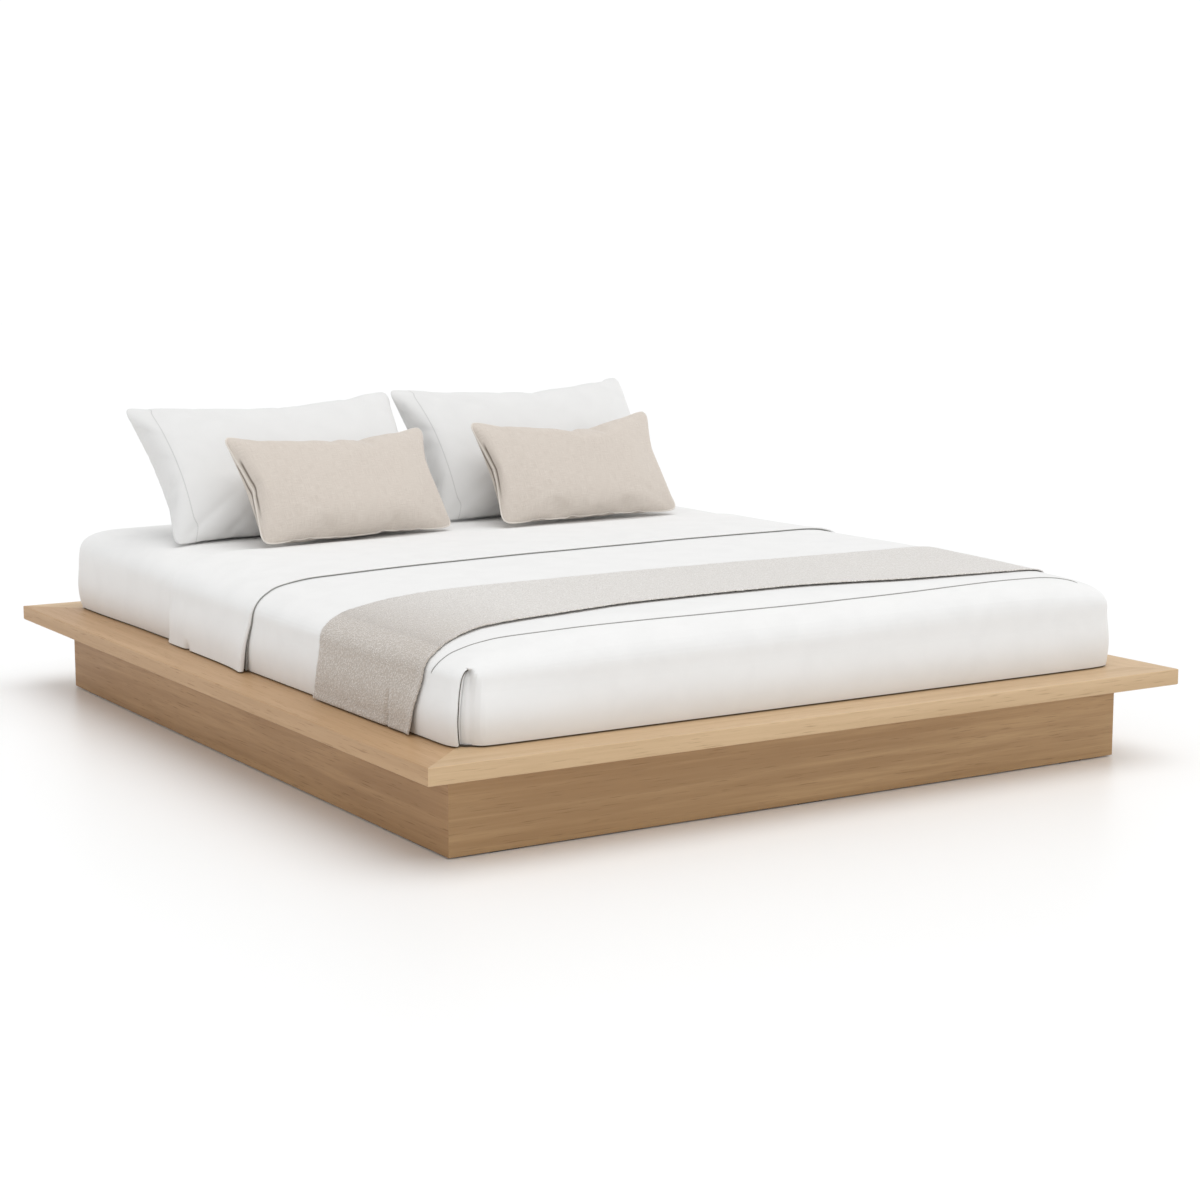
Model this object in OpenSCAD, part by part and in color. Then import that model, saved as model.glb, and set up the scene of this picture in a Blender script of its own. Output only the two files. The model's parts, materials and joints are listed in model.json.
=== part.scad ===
// Low platform double bed: a wide mitred deck on a recessed plinth, a slatted base inside it,
// and the mattress and bedding that lie on it.
// The origin is on the floor under the middle of the deck. +X is to the right seen from the foot,
// +Y points to the head, +Z is up. All sizes are millimetres.

/* [Deck] */
// Overall width of the deck
deck_w = 1830; // [1780:10:2200]
// Overall length of the deck
deck_l = 2200; // [2140:10:2500]
// Thickness of the deck boards
deck_t = 34; // [26:1:45]
// Width of each deck board
deck_board_w = 160; // [145:1:200]
// Small bevel along the deck's outer edges
deck_bevel = 1.5; // [0.5:0.5:4]
// Thickness of the hidden tenon in each mitre
tenon_t = 10; // [6:1:14]
// Width of the hidden tenon, along the mitre
tenon_w = 90; // [50:1:120]
// Length of the hidden tenon, across the mitre
tenon_l = 70; // [40:1:90]

/* [Plinth] */
// Height of the plinth boards
plinth_h = 163; // [150:1:260]
// Thickness of the plinth boards
plinth_t = 22; // [18:1:28]
// How far the plinth stands back from the deck's long edges
side_inset = 92; // [60:1:100]
// How far the plinth stands back from the deck's foot edge
foot_inset = 98; // [60:1:100]
// How far the plinth stands back from the deck's head edge
head_inset = 112; // [60:1:114]
// Thickness of the felt floor pads
pad_t = 3; // [2:0.5:6]
// Width of a floor pad
pad_w = 16; // [10:1:18]
// Length of a floor pad
pad_l = 60; // [30:1:90]

/* [Inner frame] */
// Height of the bearers under the deck boards
bearer_h = 45; // [40:1:64]
// Side of the square corner posts
post_w = 40; // [34:1:48]
// Width of the strips that carry the slat ends
strip_w = 28; // [22:1:40]
// Width of the centre rail
rail_w = 45; // [38:1:60]
// Height of the centre rail
rail_h = 75; // [66:1:95]
// Thickness of the steel rail hangers
hanger_t = 2; // [1.5:0.5:4]
// Length of the hanger's cheeks along the rail
hanger_l = 60; // [40:1:90]
// Width of each flange of a hanger
flange_w = 26; // [20:1:40]
// Side of the square centre legs
leg_w = 45; // [32:1:60]
// Distance between two centre legs
leg_pitch = 480; // [300:10:600]

/* [Levelling feet] */
// Radius of the foot's disc
foot_r = 19; // [14:1:30]
// Height of the foot's disc
foot_t = 8; // [5:1:12]
// Travel of the foot into the leg
foot_travel = 12; // [6:1:15]
// Length of the stud above the disc
foot_stud_l = 42; // [36:1:46]
// Radius of the feet's and the legs' studs
stud_r = 4; // [3:0.5:5]
// Length of each leg stud inside the leg, and again inside the rail
leg_stud_half = 20; // [12:1:26]

/* [Slats] */
// Number of slats
slat_count = 14; // [10:1:14]
// Width of a slat
slat_w = 68; // [50:1:90]
// Thickness of a slat
slat_t = 20; // [16:1:24]
// Gap between a slat's end and the deck board
slat_end_gap = 1.5; // [1:0.5:4]

/* [Fasteners] */
// Radius of a wood screw
screw_r = 2.5; // [2:0.25:3]
// Radius of a wood screw's head
screw_head_r = 5; // [4:0.25:6]
// Length of the screws that hold the deck boards
deck_screw_l = 65; // [50:1:68]
// Length of the screws that hold the bearers to the plinth, past the bearer
plinth_bite = 14; // [8:1:17]
// Length of the screws that hold the strips
strip_screw_l = 50; // [38:1:60]
// Length of the screws that hold the slats
slat_screw_l = 42; // [30:1:60]
// Length of the screws that hold the rail hangers
hanger_screw_l = 20; // [12:1:24]
// Radius of a corner bolt
bolt_r = 4; // [3:0.5:5]
// Radius of a corner bolt's head
bolt_head_r = 6.5; // [6:0.5:8]
// Height of a corner bolt's head
bolt_head_h = 6; // [4:0.5:8]
// Outer radius of the brass inserts
insert_r = 6; // [5.5:0.5:7]
// Length of the brass inserts
insert_l = 16; // [12:1:17]
// Height of the lower corner bolts above the plinth's lower edge
bolt_low = 22; // [15:1:30]
// How far the upper corner bolts lie below the bearers
bolt_drop = 28; // [16:1:34]

/* [Clearances] */
// Gap round tenons, between bearers and posts and round the rail's ends
fit_gap = 0.3; // [0.1:0.1:1]
// Radial clearance of screws, bolts, studs and inserts in their holes
thread_gap = 0.05; // [0.03:0.01:0.1]
// Gap between two layers of bedding
cloth_gap = 0.5; // [0.3:0.1:0.8]
// Gap under a pillow or cushion
rest_gap = 0.3; // [0.1:0.1:0.6]

/* [Mattress] */
// Width of the mattress, with its padding
mattress_w = 1620; // [1560:10:1640]
// How far the mattress lies to the right of the deck's middle
mattress_x = 10; // [-20:5:20]
// Length of the mattress
mattress_l = 2000; // [1960:10:2060]
// Height of the mattress
mattress_h = 205; // [160:1:280]
// How far the mattress's upper edges fall
edge_h = 62; // [40:1:90]
// How far in from the sides the top starts to fall
side_edge_w = 170; // [80:5:240]
// How far in from the foot and head ends the top starts to fall
end_edge_w = 120; // [60:5:200]
// How far the sides bulge out
side_bulge = 8; // [0:1:12]
// Height of the bulge above the deck
bulge_h = 70; // [40:5:100]
// Rounding of the mattress's lower edge
base_r = 10; // [4:1:16]
// Rounding of the mattress's corners in plan
corner_r = 50; // [40:1:110]
// Rounding of the corners in plan where the flat top begins
top_corner_r = 50; // [20:1:70]

/* [Bedding] */
// Thickness of the fitted sheet
sheet_t = 1.5; // [1:0.5:3]
// Thickness of the bed cover
cover_t = 2.5; // [1.5:0.5:5]
// How far from the mattress's head end the cover ends, under the turned-down sheet
cover_back = 650; // [620:10:700]
// Height of the bedding's hems above the deck
hem_lift = 2; // [1:0.5:10]
// How far from the mattress's head end the turned-down sheet has its fold
turn_fold_back = 1095; // [1000:5:1250]
// How far from the mattress's head end the turned-down sheet ends
turn_end_back = 595; // [580:5:605]
// Thickness of the turned-down sheet at its fold
turn_t = 6; // [4:0.5:10]
// Thickness of the turned-down sheet away from its fold
turn_thin_t = 2.5; // [1.5:0.5:4]
// How far the fold swings to the head where it hangs down the side
turn_swing = 20; // [0:5:140]
// How far from the mattress's foot end the runner lies
runner_gap = 120; // [90:5:140]
// Width of the runner
runner_w = 415; // [350:5:600]
// Thickness of the runner
runner_t = 4; // [2:0.5:7]
// How far the runner's ends swing to the head
runner_swing = 52; // [0:2:80]

/* [Pillows] */
// Width of a pillow
pillow_w = 715; // [600:5:730]
// Height of a pillow
pillow_h = 440; // [400:5:460]
// Thickness of a pillow in its middle
pillow_t = 180; // [120:5:190]
// Lean of the pillows from upright, in degrees
pillow_lean = 43; // [40:1:50]
// Where the left pillow's middle lies, to the left of the bed's middle
pillow_left_x = 366; // [362:1:400]
// How far from the mattress's head end the left pillow's middle lies
pillow_left_back = 310; // [280:5:315]
// Where the right pillow's middle lies, to the right of the bed's middle
pillow_right_x = 378; // [370:5:400]
// How far from the mattress's head end the right pillow's middle lies
pillow_right_back = 282; // [260:2:290]
// Width of a cushion
cushion_w = 545; // [450:5:560]
// Height of a cushion
cushion_h = 305; // [260:5:320]
// Thickness of a cushion in its middle
cushion_t = 130; // [80:5:135]
// Lean of the cushions from upright, in degrees
cushion_lean = 36; // [32:1:40]
// Where the left cushion's middle lies, to the left of the bed's middle
cushion_left_x = 333; // [320:1:400]
// How far from the mattress's head end the left cushion's middle lies
cushion_left_back = 542; // [540:1:570]
// Where the right cushion's middle lies, to the right of the bed's middle
cushion_right_x = 360; // [330:1:400]
// How far from the mattress's head end the right cushion's middle lies
cushion_right_back = 526; // [520:1:570]
// Share by which the short sides of pillows and cushions are drawn in
draw_in = 0.07; // [0:0.01:0.12]
// Share by which their long sides are drawn in
draw_in_long = 0.15; // [0:0.01:0.18]
// Thickness of the seam round a pillow or cushion
seam_t = 3; // [1.5:0.5:6]

/* [Hidden] */
$fn = 48;

slat_names = [for (i = [1:slat_count]) str("slat_", i < 10 ? "0" : "", i)];

// Colours
oak_light = [0.80, 0.66, 0.47];
oak_dark = [0.66, 0.51, 0.35];
pine = [0.86, 0.74, 0.55];
beech = [0.82, 0.68, 0.50];
steel = [0.62, 0.63, 0.65];
brass = [0.78, 0.65, 0.35];
felt = [0.25, 0.24, 0.23];
plastic = [0.12, 0.12, 0.12];
linen_white = [0.95, 0.94, 0.92];
runner_grey = [0.78, 0.75, 0.71];
cushion_beige = [0.80, 0.76, 0.72];

// Plan and heights of the frame
deck_x = deck_w / 2;
deck_y = deck_l / 2;
open_x = deck_x - deck_board_w;
open_y = deck_y - deck_board_w;
plinth_x = deck_x - side_inset;
plinth_foot_y = foot_inset - deck_y;
plinth_head_y = deck_y - head_inset;
inner_x = plinth_x - plinth_t;
inner_foot_y = plinth_foot_y + plinth_t;
inner_head_y = plinth_head_y - plinth_t;
post_x = inner_x - post_w;
post_foot_y = inner_foot_y + post_w;
post_head_y = inner_head_y - post_w;
plinth_top = pad_t + plinth_h;
deck_top = plinth_top + deck_t;
bearer_low = plinth_top - bearer_h;
bearer_mid = plinth_top - bearer_h / 2;
slat_low = deck_top - slat_t;
rail_low = slat_low - rail_h;
rail_end_y = open_y - hanger_t - fit_gap;
foot_spare = 2;
leg_low = foot_t + foot_travel + foot_spare;
leg_y = [-leg_pitch, 0, leg_pitch];
slat_gap = (2 * open_y - slat_count * slat_w) / (slat_count + 1);
head_depth = screw_head_r - screw_r;
// How far a cutting shape reaches past the face that it cuts
over = 1;

// Evenly spaced values from one to the other
function spread(n, from, to) = [for (i = [0:n - 1]) from + (to - from) * i / (n - 1)];
function slat_y(i) = -open_y + slat_gap * i + slat_w * (i - 0.5);

// Where fasteners go: the head's place, and the turn that lays a screw pointing down along its way
into_left = [0, 90, 0];
into_right = [0, -90, 0];
into_foot = [-90, 0, 0];
into_head = [90, 0, 0];
upwards = [180, 0, 0];
downwards = [0, 0, 0];
deck_side_screws = 5;
deck_end_screws = 4;
bearer_side_screws = 4;
bearer_end_screws = 4;
strip_screw_count = 6;
pads_each = 3;
deck_screw_margin = 110;
bearer_side_margin = 300;
bearer_end_margin = 330;
strip_margin = 200;
cheek_screw_back = 36;
side_middle_x = (open_x + inner_x) / 2;
function into_side(s) = s < 0 ? into_left : into_right;
function into_end(s) = s < 0 ? into_foot : into_head;
function end_inner_y(s) = s < 0 ? inner_foot_y : inner_head_y;
function end_post_y(s) = s < 0 ? post_foot_y : post_head_y;
function end_middle_y(s) = (s * open_y + end_inner_y(s)) / 2;

// Places spread between the posts, along the sides or across the ends
function along(n, margin) = spread(n, post_foot_y + margin, post_head_y - margin);
function across(n, margin) = spread(n, margin - post_x, post_x - margin);
function deck_side_places(s) = [for (y = along(deck_side_screws, deck_screw_margin))
    [[s * side_middle_x, y, bearer_low], upwards]];
function deck_end_places(s) = [for (x = across(deck_end_screws, deck_screw_margin))
    [[x, end_middle_y(s), bearer_low], upwards]];
function bearer_side_places(s) = [for (y = along(bearer_side_screws, bearer_side_margin))
    [[s * open_x, y, bearer_mid], into_side(s)]];
function bearer_end_places(s) = [for (x = across(bearer_end_screws, bearer_end_margin))
    [[x, s * open_y, bearer_mid], into_end(s)]];
function strip_places(s) = [for (y = along(strip_screw_count, strip_margin))
    [[s * (open_x - strip_w), y, bearer_mid], into_side(s)]];
function slat_places(i) = [for (x = [-(open_x - strip_w / 2), 0, open_x - strip_w / 2])
    [[x, slat_y(i), deck_top], downwards]];
corner_heights = spread(4, pad_t + bolt_low, bearer_low - bolt_drop);
function post_screw_places(sx, sy) = [for (z = [corner_heights[1], corner_heights[2]])
    [[sx * (inner_x - post_w / 2), end_post_y(sy), z], into_end(sy)]];
function bolt_places(sx, sy) = [for (z = [corner_heights[0], corner_heights[3]])
    [[sx * post_x, end_inner_y(sy) - sy * post_w / 2, z], into_side(sx)]];
flange_screw_x = rail_w / 2 + fit_gap + hanger_t + flange_w / 2;
function flange_places(s) = [for (x = [-flange_screw_x, flange_screw_x], z = [-1, 1])
    [[x, s * (open_y - hanger_t), bearer_mid + z * bearer_h / 4], into_end(s)]];
cheek_screw_x = rail_w / 2 + fit_gap + hanger_t;
function cheek_places(s) = [for (t = [-1, 1])
    [[t * cheek_screw_x, s * (open_y - cheek_screw_back), rail_low + rail_h / 3], into_side(-t)]];

module at_each(places) for (p = places) translate(p[0]) rotate(p[1]) children();

// Countersunk screw with its head's face at the origin, pointing down
screw_point = 3;
module screw(length, extra = 0) {
    r = screw_r + extra;
    head = screw_head_r + extra;
    tip = length + extra;
    rotate_extrude() polygon([
        [0, extra > 0 ? over : 0], [head, extra > 0 ? over : 0], [head, 0],
        [r, -head_depth], [r, screw_point - tip], [0, -tip]
    ]);
}
module screw_hole(length) screw(length, thread_gap);

// Screw with a low domed head that sits on thin steel
pan_head_h = 2.4;
pan_head_slope = 1.6;
module pan_screw(length) {
    translate([0, 0, -length]) cylinder(h = length, r = screw_r);
    cylinder(h = pan_head_h, r1 = screw_head_r, r2 = screw_head_r - pan_head_slope);
}
module pan_screw_hole(length) translate([0, 0, -length - thread_gap])
    cylinder(h = length + thread_gap + over, r = screw_r + thread_gap);

// Bolt with a socket head seated at the origin, pointing down
bolt_l = post_w + insert_l;
socket_r = bolt_r * 0.75;
module bolt() difference() {
    union() {
        translate([0, 0, -bolt_l]) cylinder(h = bolt_l, r = bolt_r);
        cylinder(h = bolt_head_h, r = bolt_head_r);
    }
    translate([0, 0, bolt_head_h / 2]) cylinder(h = bolt_head_h, r = socket_r, $fn = 6);
}
module bolt_hole(length)
    translate([0, 0, -length]) cylinder(h = length + over, r = bolt_r + thread_gap);
module insert_pocket() translate([0, 0, -bolt_l - thread_gap])
    cylinder(h = insert_l + thread_gap + over, r = insert_r + thread_gap);

// Deck boards, mitred at the corners
module board_profile(s, inner, outer) polygon([
    [s * inner, plinth_top], [s * (outer - deck_bevel), plinth_top], [s * outer, plinth_top + deck_bevel],
    [s * outer, deck_top - deck_bevel], [s * (outer - deck_bevel), deck_top], [s * inner, deck_top]
]);
module side_board_blank(s) intersection() {
    rotate([90, 0, 0]) linear_extrude(deck_l, center = true) board_profile(s, open_x, deck_x);
    linear_extrude(deck_top + over) polygon([
        [s * open_x, -open_y], [s * deck_x, -deck_y], [s * deck_x, deck_y], [s * open_x, open_y]
    ]);
}
module end_board_blank(s) intersection() {
    rotate([90, 0, 90]) linear_extrude(deck_w, center = true) board_profile(s, open_y, deck_y);
    linear_extrude(deck_top + over) polygon([
        [-open_x, s * open_y], [-deck_x, s * deck_y], [deck_x, s * deck_y], [open_x, s * open_y]
    ]);
}
module tenon(sx, sy, extra = 0)
    translate([sx * (deck_x - deck_board_w / 2), sy * (deck_y - deck_board_w / 2), plinth_top + deck_t / 2])
        rotate([0, 0, atan2(sy, sx)])
            cube([tenon_w + 2 * extra, tenon_l + 2 * extra, tenon_t + 2 * extra], center = true);

module deck_side_board(s) color(oak_light) difference() {
    side_board_blank(s);
    tenon(s, -1, fit_gap);
    tenon(s, 1, fit_gap);
    at_each(deck_side_places(s)) screw_hole(deck_screw_l);
}
module deck_end_board(s) color(oak_light) difference() {
    end_board_blank(s);
    tenon(-1, s, fit_gap);
    tenon(1, s, fit_gap);
    at_each(deck_end_places(s)) screw_hole(deck_screw_l);
}
module deck_board_left() deck_side_board(-1);
module deck_board_right() deck_side_board(1);
module deck_board_foot() deck_end_board(-1);
module deck_board_head() deck_end_board(1);
module mitre_tenons() color(beech) for (sx = [-1, 1], sy = [-1, 1]) tenon(sx, sy);

// Plinth boards, mitred at the corners
module plinth_side(s) color(oak_dark) difference() {
    translate([0, 0, pad_t]) linear_extrude(plinth_h) polygon([
        [s * inner_x, inner_foot_y], [s * plinth_x, plinth_foot_y],
        [s * plinth_x, plinth_head_y], [s * inner_x, inner_head_y]
    ]);
    at_each(bearer_side_places(s)) screw_hole(inner_x - open_x + plinth_bite);
    for (sy = [-1, 1]) at_each(bolt_places(s, sy)) insert_pocket();
}
module plinth_end(s) color(oak_dark) difference() {
    outer_y = s < 0 ? plinth_foot_y : plinth_head_y;
    translate([0, 0, pad_t]) linear_extrude(plinth_h) polygon([
        [-inner_x, end_inner_y(s)], [-plinth_x, outer_y], [plinth_x, outer_y], [inner_x, end_inner_y(s)]
    ]);
    at_each(bearer_end_places(s)) screw_hole(abs(end_inner_y(s) - s * open_y) + plinth_bite);
    for (sx = [-1, 1]) at_each(post_screw_places(sx, s)) screw_hole(post_w + plinth_bite);
}
module plinth_left() plinth_side(-1);
module plinth_right() plinth_side(1);
module plinth_foot() plinth_end(-1);
module plinth_head() plinth_end(1);

// Corner posts inside the plinth
module corner_post(sx, sy) color(pine) difference() {
    translate([sx * (inner_x - post_w / 2), end_inner_y(sy) - sy * post_w / 2, pad_t + plinth_h / 2])
        cube([post_w, post_w, plinth_h], center = true);
    at_each(post_screw_places(sx, sy)) screw_hole(post_w + plinth_bite);
    at_each(bolt_places(sx, sy)) bolt_hole(post_w + over);
}
module corner_post_foot_left() corner_post(-1, -1);
module corner_post_foot_right() corner_post(1, -1);
module corner_post_head_left() corner_post(-1, 1);
module corner_post_head_right() corner_post(1, 1);

// Bearers between the posts, flush with the deck boards' inner edges
module bearer_side(s) color(pine) difference() {
    low_y = post_foot_y + fit_gap;
    translate([s > 0 ? open_x : -inner_x, low_y, bearer_low])
        cube([inner_x - open_x, post_head_y - fit_gap - low_y, bearer_h]);
    at_each(deck_side_places(s)) screw_hole(deck_screw_l);
    at_each(bearer_side_places(s)) screw_hole(inner_x - open_x + plinth_bite);
    at_each(strip_places(s)) screw_hole(strip_screw_l);
}
module bearer_end(s) color(pine) difference() {
    depth = abs(end_inner_y(s) - s * open_y);
    half = min(open_x, post_x) - fit_gap;
    translate([-half, s > 0 ? open_y : -open_y - depth, bearer_low]) cube([2 * half, depth, bearer_h]);
    at_each(deck_end_places(s)) screw_hole(deck_screw_l);
    at_each(bearer_end_places(s)) screw_hole(depth + plinth_bite);
    at_each(flange_places(s)) pan_screw_hole(hanger_screw_l);
}
module bearer_left() bearer_side(-1);
module bearer_right() bearer_side(1);
module bearer_foot() bearer_end(-1);
module bearer_head() bearer_end(1);

// Strips that carry the slats' ends
module slat_strip(s) color(pine) difference() {
    low_y = max(-open_y, post_foot_y) + fit_gap;
    high_y = min(open_y, post_head_y) - fit_gap;
    translate([s > 0 ? open_x - strip_w : -open_x, low_y, bearer_low])
        cube([strip_w, high_y - low_y, slat_low - bearer_low]);
    at_each(strip_places(s)) screw_hole(strip_screw_l);
    for (i = [1:slat_count]) at_each(slat_places(i)) screw_hole(slat_screw_l);
}
module slat_strip_left() slat_strip(-1);
module slat_strip_right() slat_strip(1);

// Slats, flush with the deck's top
module slat(i) color(beech) difference() {
    translate([-(open_x - slat_end_gap), slat_y(i) - slat_w / 2, slat_low])
        cube([2 * (open_x - slat_end_gap), slat_w, slat_t]);
    at_each(slat_places(i)) screw_hole(slat_screw_l);
}

// Centre rail with its hangers and legs
leg_stud_low = rail_low - leg_stud_half;
module leg_stud_at(y, extra = 0)
    translate([0, y, leg_stud_low - extra]) cylinder(h = 2 * (leg_stud_half + extra), r = stud_r + extra);
module centre_rail() color(pine) difference() {
    translate([-rail_w / 2, -rail_end_y, rail_low]) cube([rail_w, 2 * rail_end_y, rail_h]);
    for (y = leg_y) leg_stud_at(y, thread_gap);
    for (i = [1:slat_count]) at_each(slat_places(i)) screw_hole(slat_screw_l);
    for (s = [-1, 1]) at_each(cheek_places(s)) pan_screw_hole(hanger_screw_l);
}
module rail_hanger(s) {
    half = rail_w / 2 + fit_gap;
    shoe_low = rail_low - fit_gap - hanger_t;
    difference() {
        union() {
            translate([-half - hanger_t - flange_w, s > 0 ? open_y - hanger_t : -open_y, shoe_low])
                cube([2 * (half + hanger_t + flange_w), hanger_t, plinth_top - shoe_low]);
            translate([-half - hanger_t, s > 0 ? open_y - hanger_l : -open_y, shoe_low])
                cube([2 * (half + hanger_t), hanger_l, plinth_top - shoe_low]);
        }
        translate([-half, s > 0 ? open_y - hanger_l - over : hanger_t - open_y, rail_low - fit_gap])
            cube([2 * half, hanger_l - hanger_t + over, rail_h + over]);
        at_each(flange_places(s)) pan_screw_hole(hanger_screw_l);
        at_each(cheek_places(s)) pan_screw_hole(hanger_screw_l);
    }
}
module rail_hangers() color(steel) for (s = [-1, 1]) rail_hanger(s);

// Radial slack of the foot's stud above its insert
stud_slack = 0.5;
// Rounding of the foot's lower edge, and the slope of its upper edge
foot_edge = 1;
foot_slope = 3;
module centre_leg(y) color(pine) difference() {
    translate([-leg_w / 2, y - leg_w / 2, leg_low]) cube([leg_w, leg_w, rail_low - leg_low]);
    leg_stud_at(y, thread_gap);
    translate([0, y, leg_low - over]) cylinder(h = insert_l + thread_gap + over, r = insert_r + thread_gap);
    translate([0, y, leg_low]) cylinder(h = foot_stud_l, r = stud_r + stud_slack);
}
module centre_leg_1() centre_leg(leg_y[0]);
module centre_leg_2() centre_leg(leg_y[1]);
module centre_leg_3() centre_leg(leg_y[2]);
module leg_studs() color(steel) for (y = leg_y) leg_stud_at(y);
module level_foot(y) color(plastic) translate([0, y, 0]) {
    rotate_extrude() polygon([
        [0, 0], [foot_r - foot_edge, 0], [foot_r, foot_edge],
        [foot_r, foot_t - foot_slope], [foot_r - foot_slope, foot_t],
        [stud_r, foot_t], [stud_r, foot_t + foot_stud_l], [0, foot_t + foot_stud_l]
    ]);
}
module level_foot_1() level_foot(leg_y[0]);
module level_foot_2() level_foot(leg_y[1]);
module level_foot_3() level_foot(leg_y[2]);

// Felt pads under the plinth boards
pad_margin = 120;
module floor_pads() color(felt) {
    side_mid = plinth_x - plinth_t / 2;
    for (s = [-1, 1], y = spread(pads_each, plinth_foot_y + pad_margin, plinth_head_y - pad_margin))
        translate([s * side_mid, y, pad_t / 2]) cube([pad_w, pad_l, pad_t], center = true);
    for (y = [plinth_foot_y + plinth_t / 2, plinth_head_y - plinth_t / 2],
         x = spread(pads_each, pad_margin - plinth_x, plinth_x - pad_margin))
        translate([x, y, pad_t / 2]) cube([pad_l, pad_w, pad_t], center = true);
}

// Fasteners, grouped by kind
module deck_screws() color(steel) for (s = [-1, 1]) {
    at_each(deck_side_places(s)) screw(deck_screw_l);
    at_each(deck_end_places(s)) screw(deck_screw_l);
}
module bearer_screws() color(steel) for (s = [-1, 1]) {
    at_each(bearer_side_places(s)) screw(inner_x - open_x + plinth_bite);
    at_each(bearer_end_places(s)) screw(abs(end_inner_y(s) - s * open_y) + plinth_bite);
}
module post_screws() color(steel) for (sx = [-1, 1], sy = [-1, 1])
    at_each(post_screw_places(sx, sy)) screw(post_w + plinth_bite);
module strip_screws() color(steel) for (s = [-1, 1]) at_each(strip_places(s)) screw(strip_screw_l);
module slat_screws() color(steel) for (i = [1:slat_count]) at_each(slat_places(i)) screw(slat_screw_l);
module hanger_screws() color(steel) for (s = [-1, 1]) {
    at_each(flange_places(s)) pan_screw(hanger_screw_l);
    at_each(cheek_places(s)) pan_screw(hanger_screw_l);
}
module corner_bolts() color(steel) for (sx = [-1, 1], sy = [-1, 1]) at_each(bolt_places(sx, sy)) bolt();
module insert(hole_r) difference() {
    cylinder(h = insert_l, r = insert_r);
    translate([0, 0, -over]) cylinder(h = insert_l + 2 * over, r = hole_r + thread_gap);
}
module threaded_inserts() color(brass) {
    for (sx = [-1, 1], sy = [-1, 1]) at_each(bolt_places(sx, sy)) translate([0, 0, -bolt_l]) insert(bolt_r);
    for (y = leg_y) translate([0, y, leg_low]) insert(stud_r);
}

// Faces of a grid of points that starts at point s. Rows run one way and columns the other.
function cell_faces(a, b, c, d, flip) = flip ? [[a, b, d], [a, d, c]] : [[a, d, b], [a, c, d]];
function grid_faces(s, rows, cols, wrap, flip) = [
    for (i = [0:rows - 2], j = [0:cols - (wrap ? 1 : 2)])
        let (a = s + i * cols + j, b = s + i * cols + (j + 1) % cols)
            each cell_faces(a, b, a + cols, b + cols, flip)
];
function fan_faces(tip, s, cols, wrap, flip) = [
    for (j = [0:cols - (wrap ? 1 : 2)]) let (a = s + j, b = s + (j + 1) % cols)
        flip ? [tip, a, b] : [tip, b, a]
];
// Faces that close the edge between an outer and an inner layer along a loop of points
function rim_faces(loop, inner) = [
    for (k = [0:len(loop) - 1]) let (a = loop[k], b = loop[(k + 1) % len(loop)])
        each [[a, b, b + inner], [a, b + inner, a + inner]]
];
function flat_list(rows) = [for (row = rows) each row];
function open_loop(rows, cols) = concat(
    [for (j = [0:cols - 1]) j],
    [for (i = [1:rows - 1]) i * cols + cols - 1],
    [for (j = [cols - 2:-1:0]) (rows - 1) * cols + j],
    [for (i = [rows - 2:-1:1]) i * cols]
);
// Solid between two grids of points that share their rows and columns
module sheet_solid(front, back) {
    rows = len(front);
    cols = len(front[0]);
    n = rows * cols;
    polyhedron(
        concat(flat_list(front), flat_list(back)),
        concat(
            grid_faces(0, rows, cols, false, false), grid_faces(n, rows, cols, false, true),
            rim_faces(open_loop(rows, cols), n)
        )
    );
}

// The mattress's skin, moved outwards by o: rows from the hem to the start of the flat top
arc_steps = 6;
corner_steps = 5;
mattress_top = deck_top + mattress_h;
edge_turns = [for (i = [0:arc_steps]) 90 * i / arc_steps];
function skin_row(a, o) = let (back = 1 - cos(a)) [
    mattress_w / 2 - side_edge_w * back + o * cos(a), mattress_l / 2 - end_edge_w * back + o * cos(a),
    corner_r + (top_corner_r - corner_r) * back + o * cos(a), mattress_top - edge_h + (edge_h + o) * sin(a)
];
function wall_row(out, z) = [mattress_w / 2 + out, mattress_l / 2 + out, corner_r + out, z];
function skin_rows(o, low) = concat(
    [wall_row(o, low), wall_row(side_bulge + o, deck_top + bulge_h)], [for (a = edge_turns) skin_row(a, o)]
);
function corner_points(hx, hy, r, z, q) = let (sx = q == 0 || q == 3 ? 1 : -1, sy = q < 2 ? 1 : -1)
    [for (i = [0:corner_steps]) let (a = 90 * q + 90 * i / corner_steps)
        [sx * (hx - r) + r * cos(a), sy * (hy - r) + r * sin(a), z]];
function ring(row) = [for (q = [0:3]) each corner_points(row[0], row[1], row[2], row[3], q)];
// The half of the ring round the foot end, from the left side at y to the right side at y
function foot_loop(row, y) = concat(
    [[-row[0], y, row[3]]],
    corner_points(row[0], row[1], row[2], row[3], 2),
    corner_points(row[0], row[1], row[2], row[3], 3),
    [[row[0], y, row[3]]]
);

module mattress() color(linen_white) translate([mattress_x, 0, 0]) {
    base = [for (a = [-90, -45]) [
        mattress_w / 2 - base_r * (1 - cos(a)), mattress_l / 2 - base_r * (1 - cos(a)),
        corner_r - base_r * (1 - cos(a)), deck_top + base_r * (1 + sin(a))
    ]];
    rows = concat([for (row = base) ring(row)], [for (row = skin_rows(0, deck_top + base_r)) ring(row)]);
    cols = len(rows[0]);
    n = len(rows) * cols;
    polyhedron(
        concat(flat_list(rows), [[0, 0, deck_top], [0, 0, mattress_top]]),
        concat(
            grid_faces(0, len(rows), cols, true, false),
            fan_faces(n, 0, cols, true, true), fan_faces(n + 1, n - cols, cols, true, false)
        )
    );
}

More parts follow.
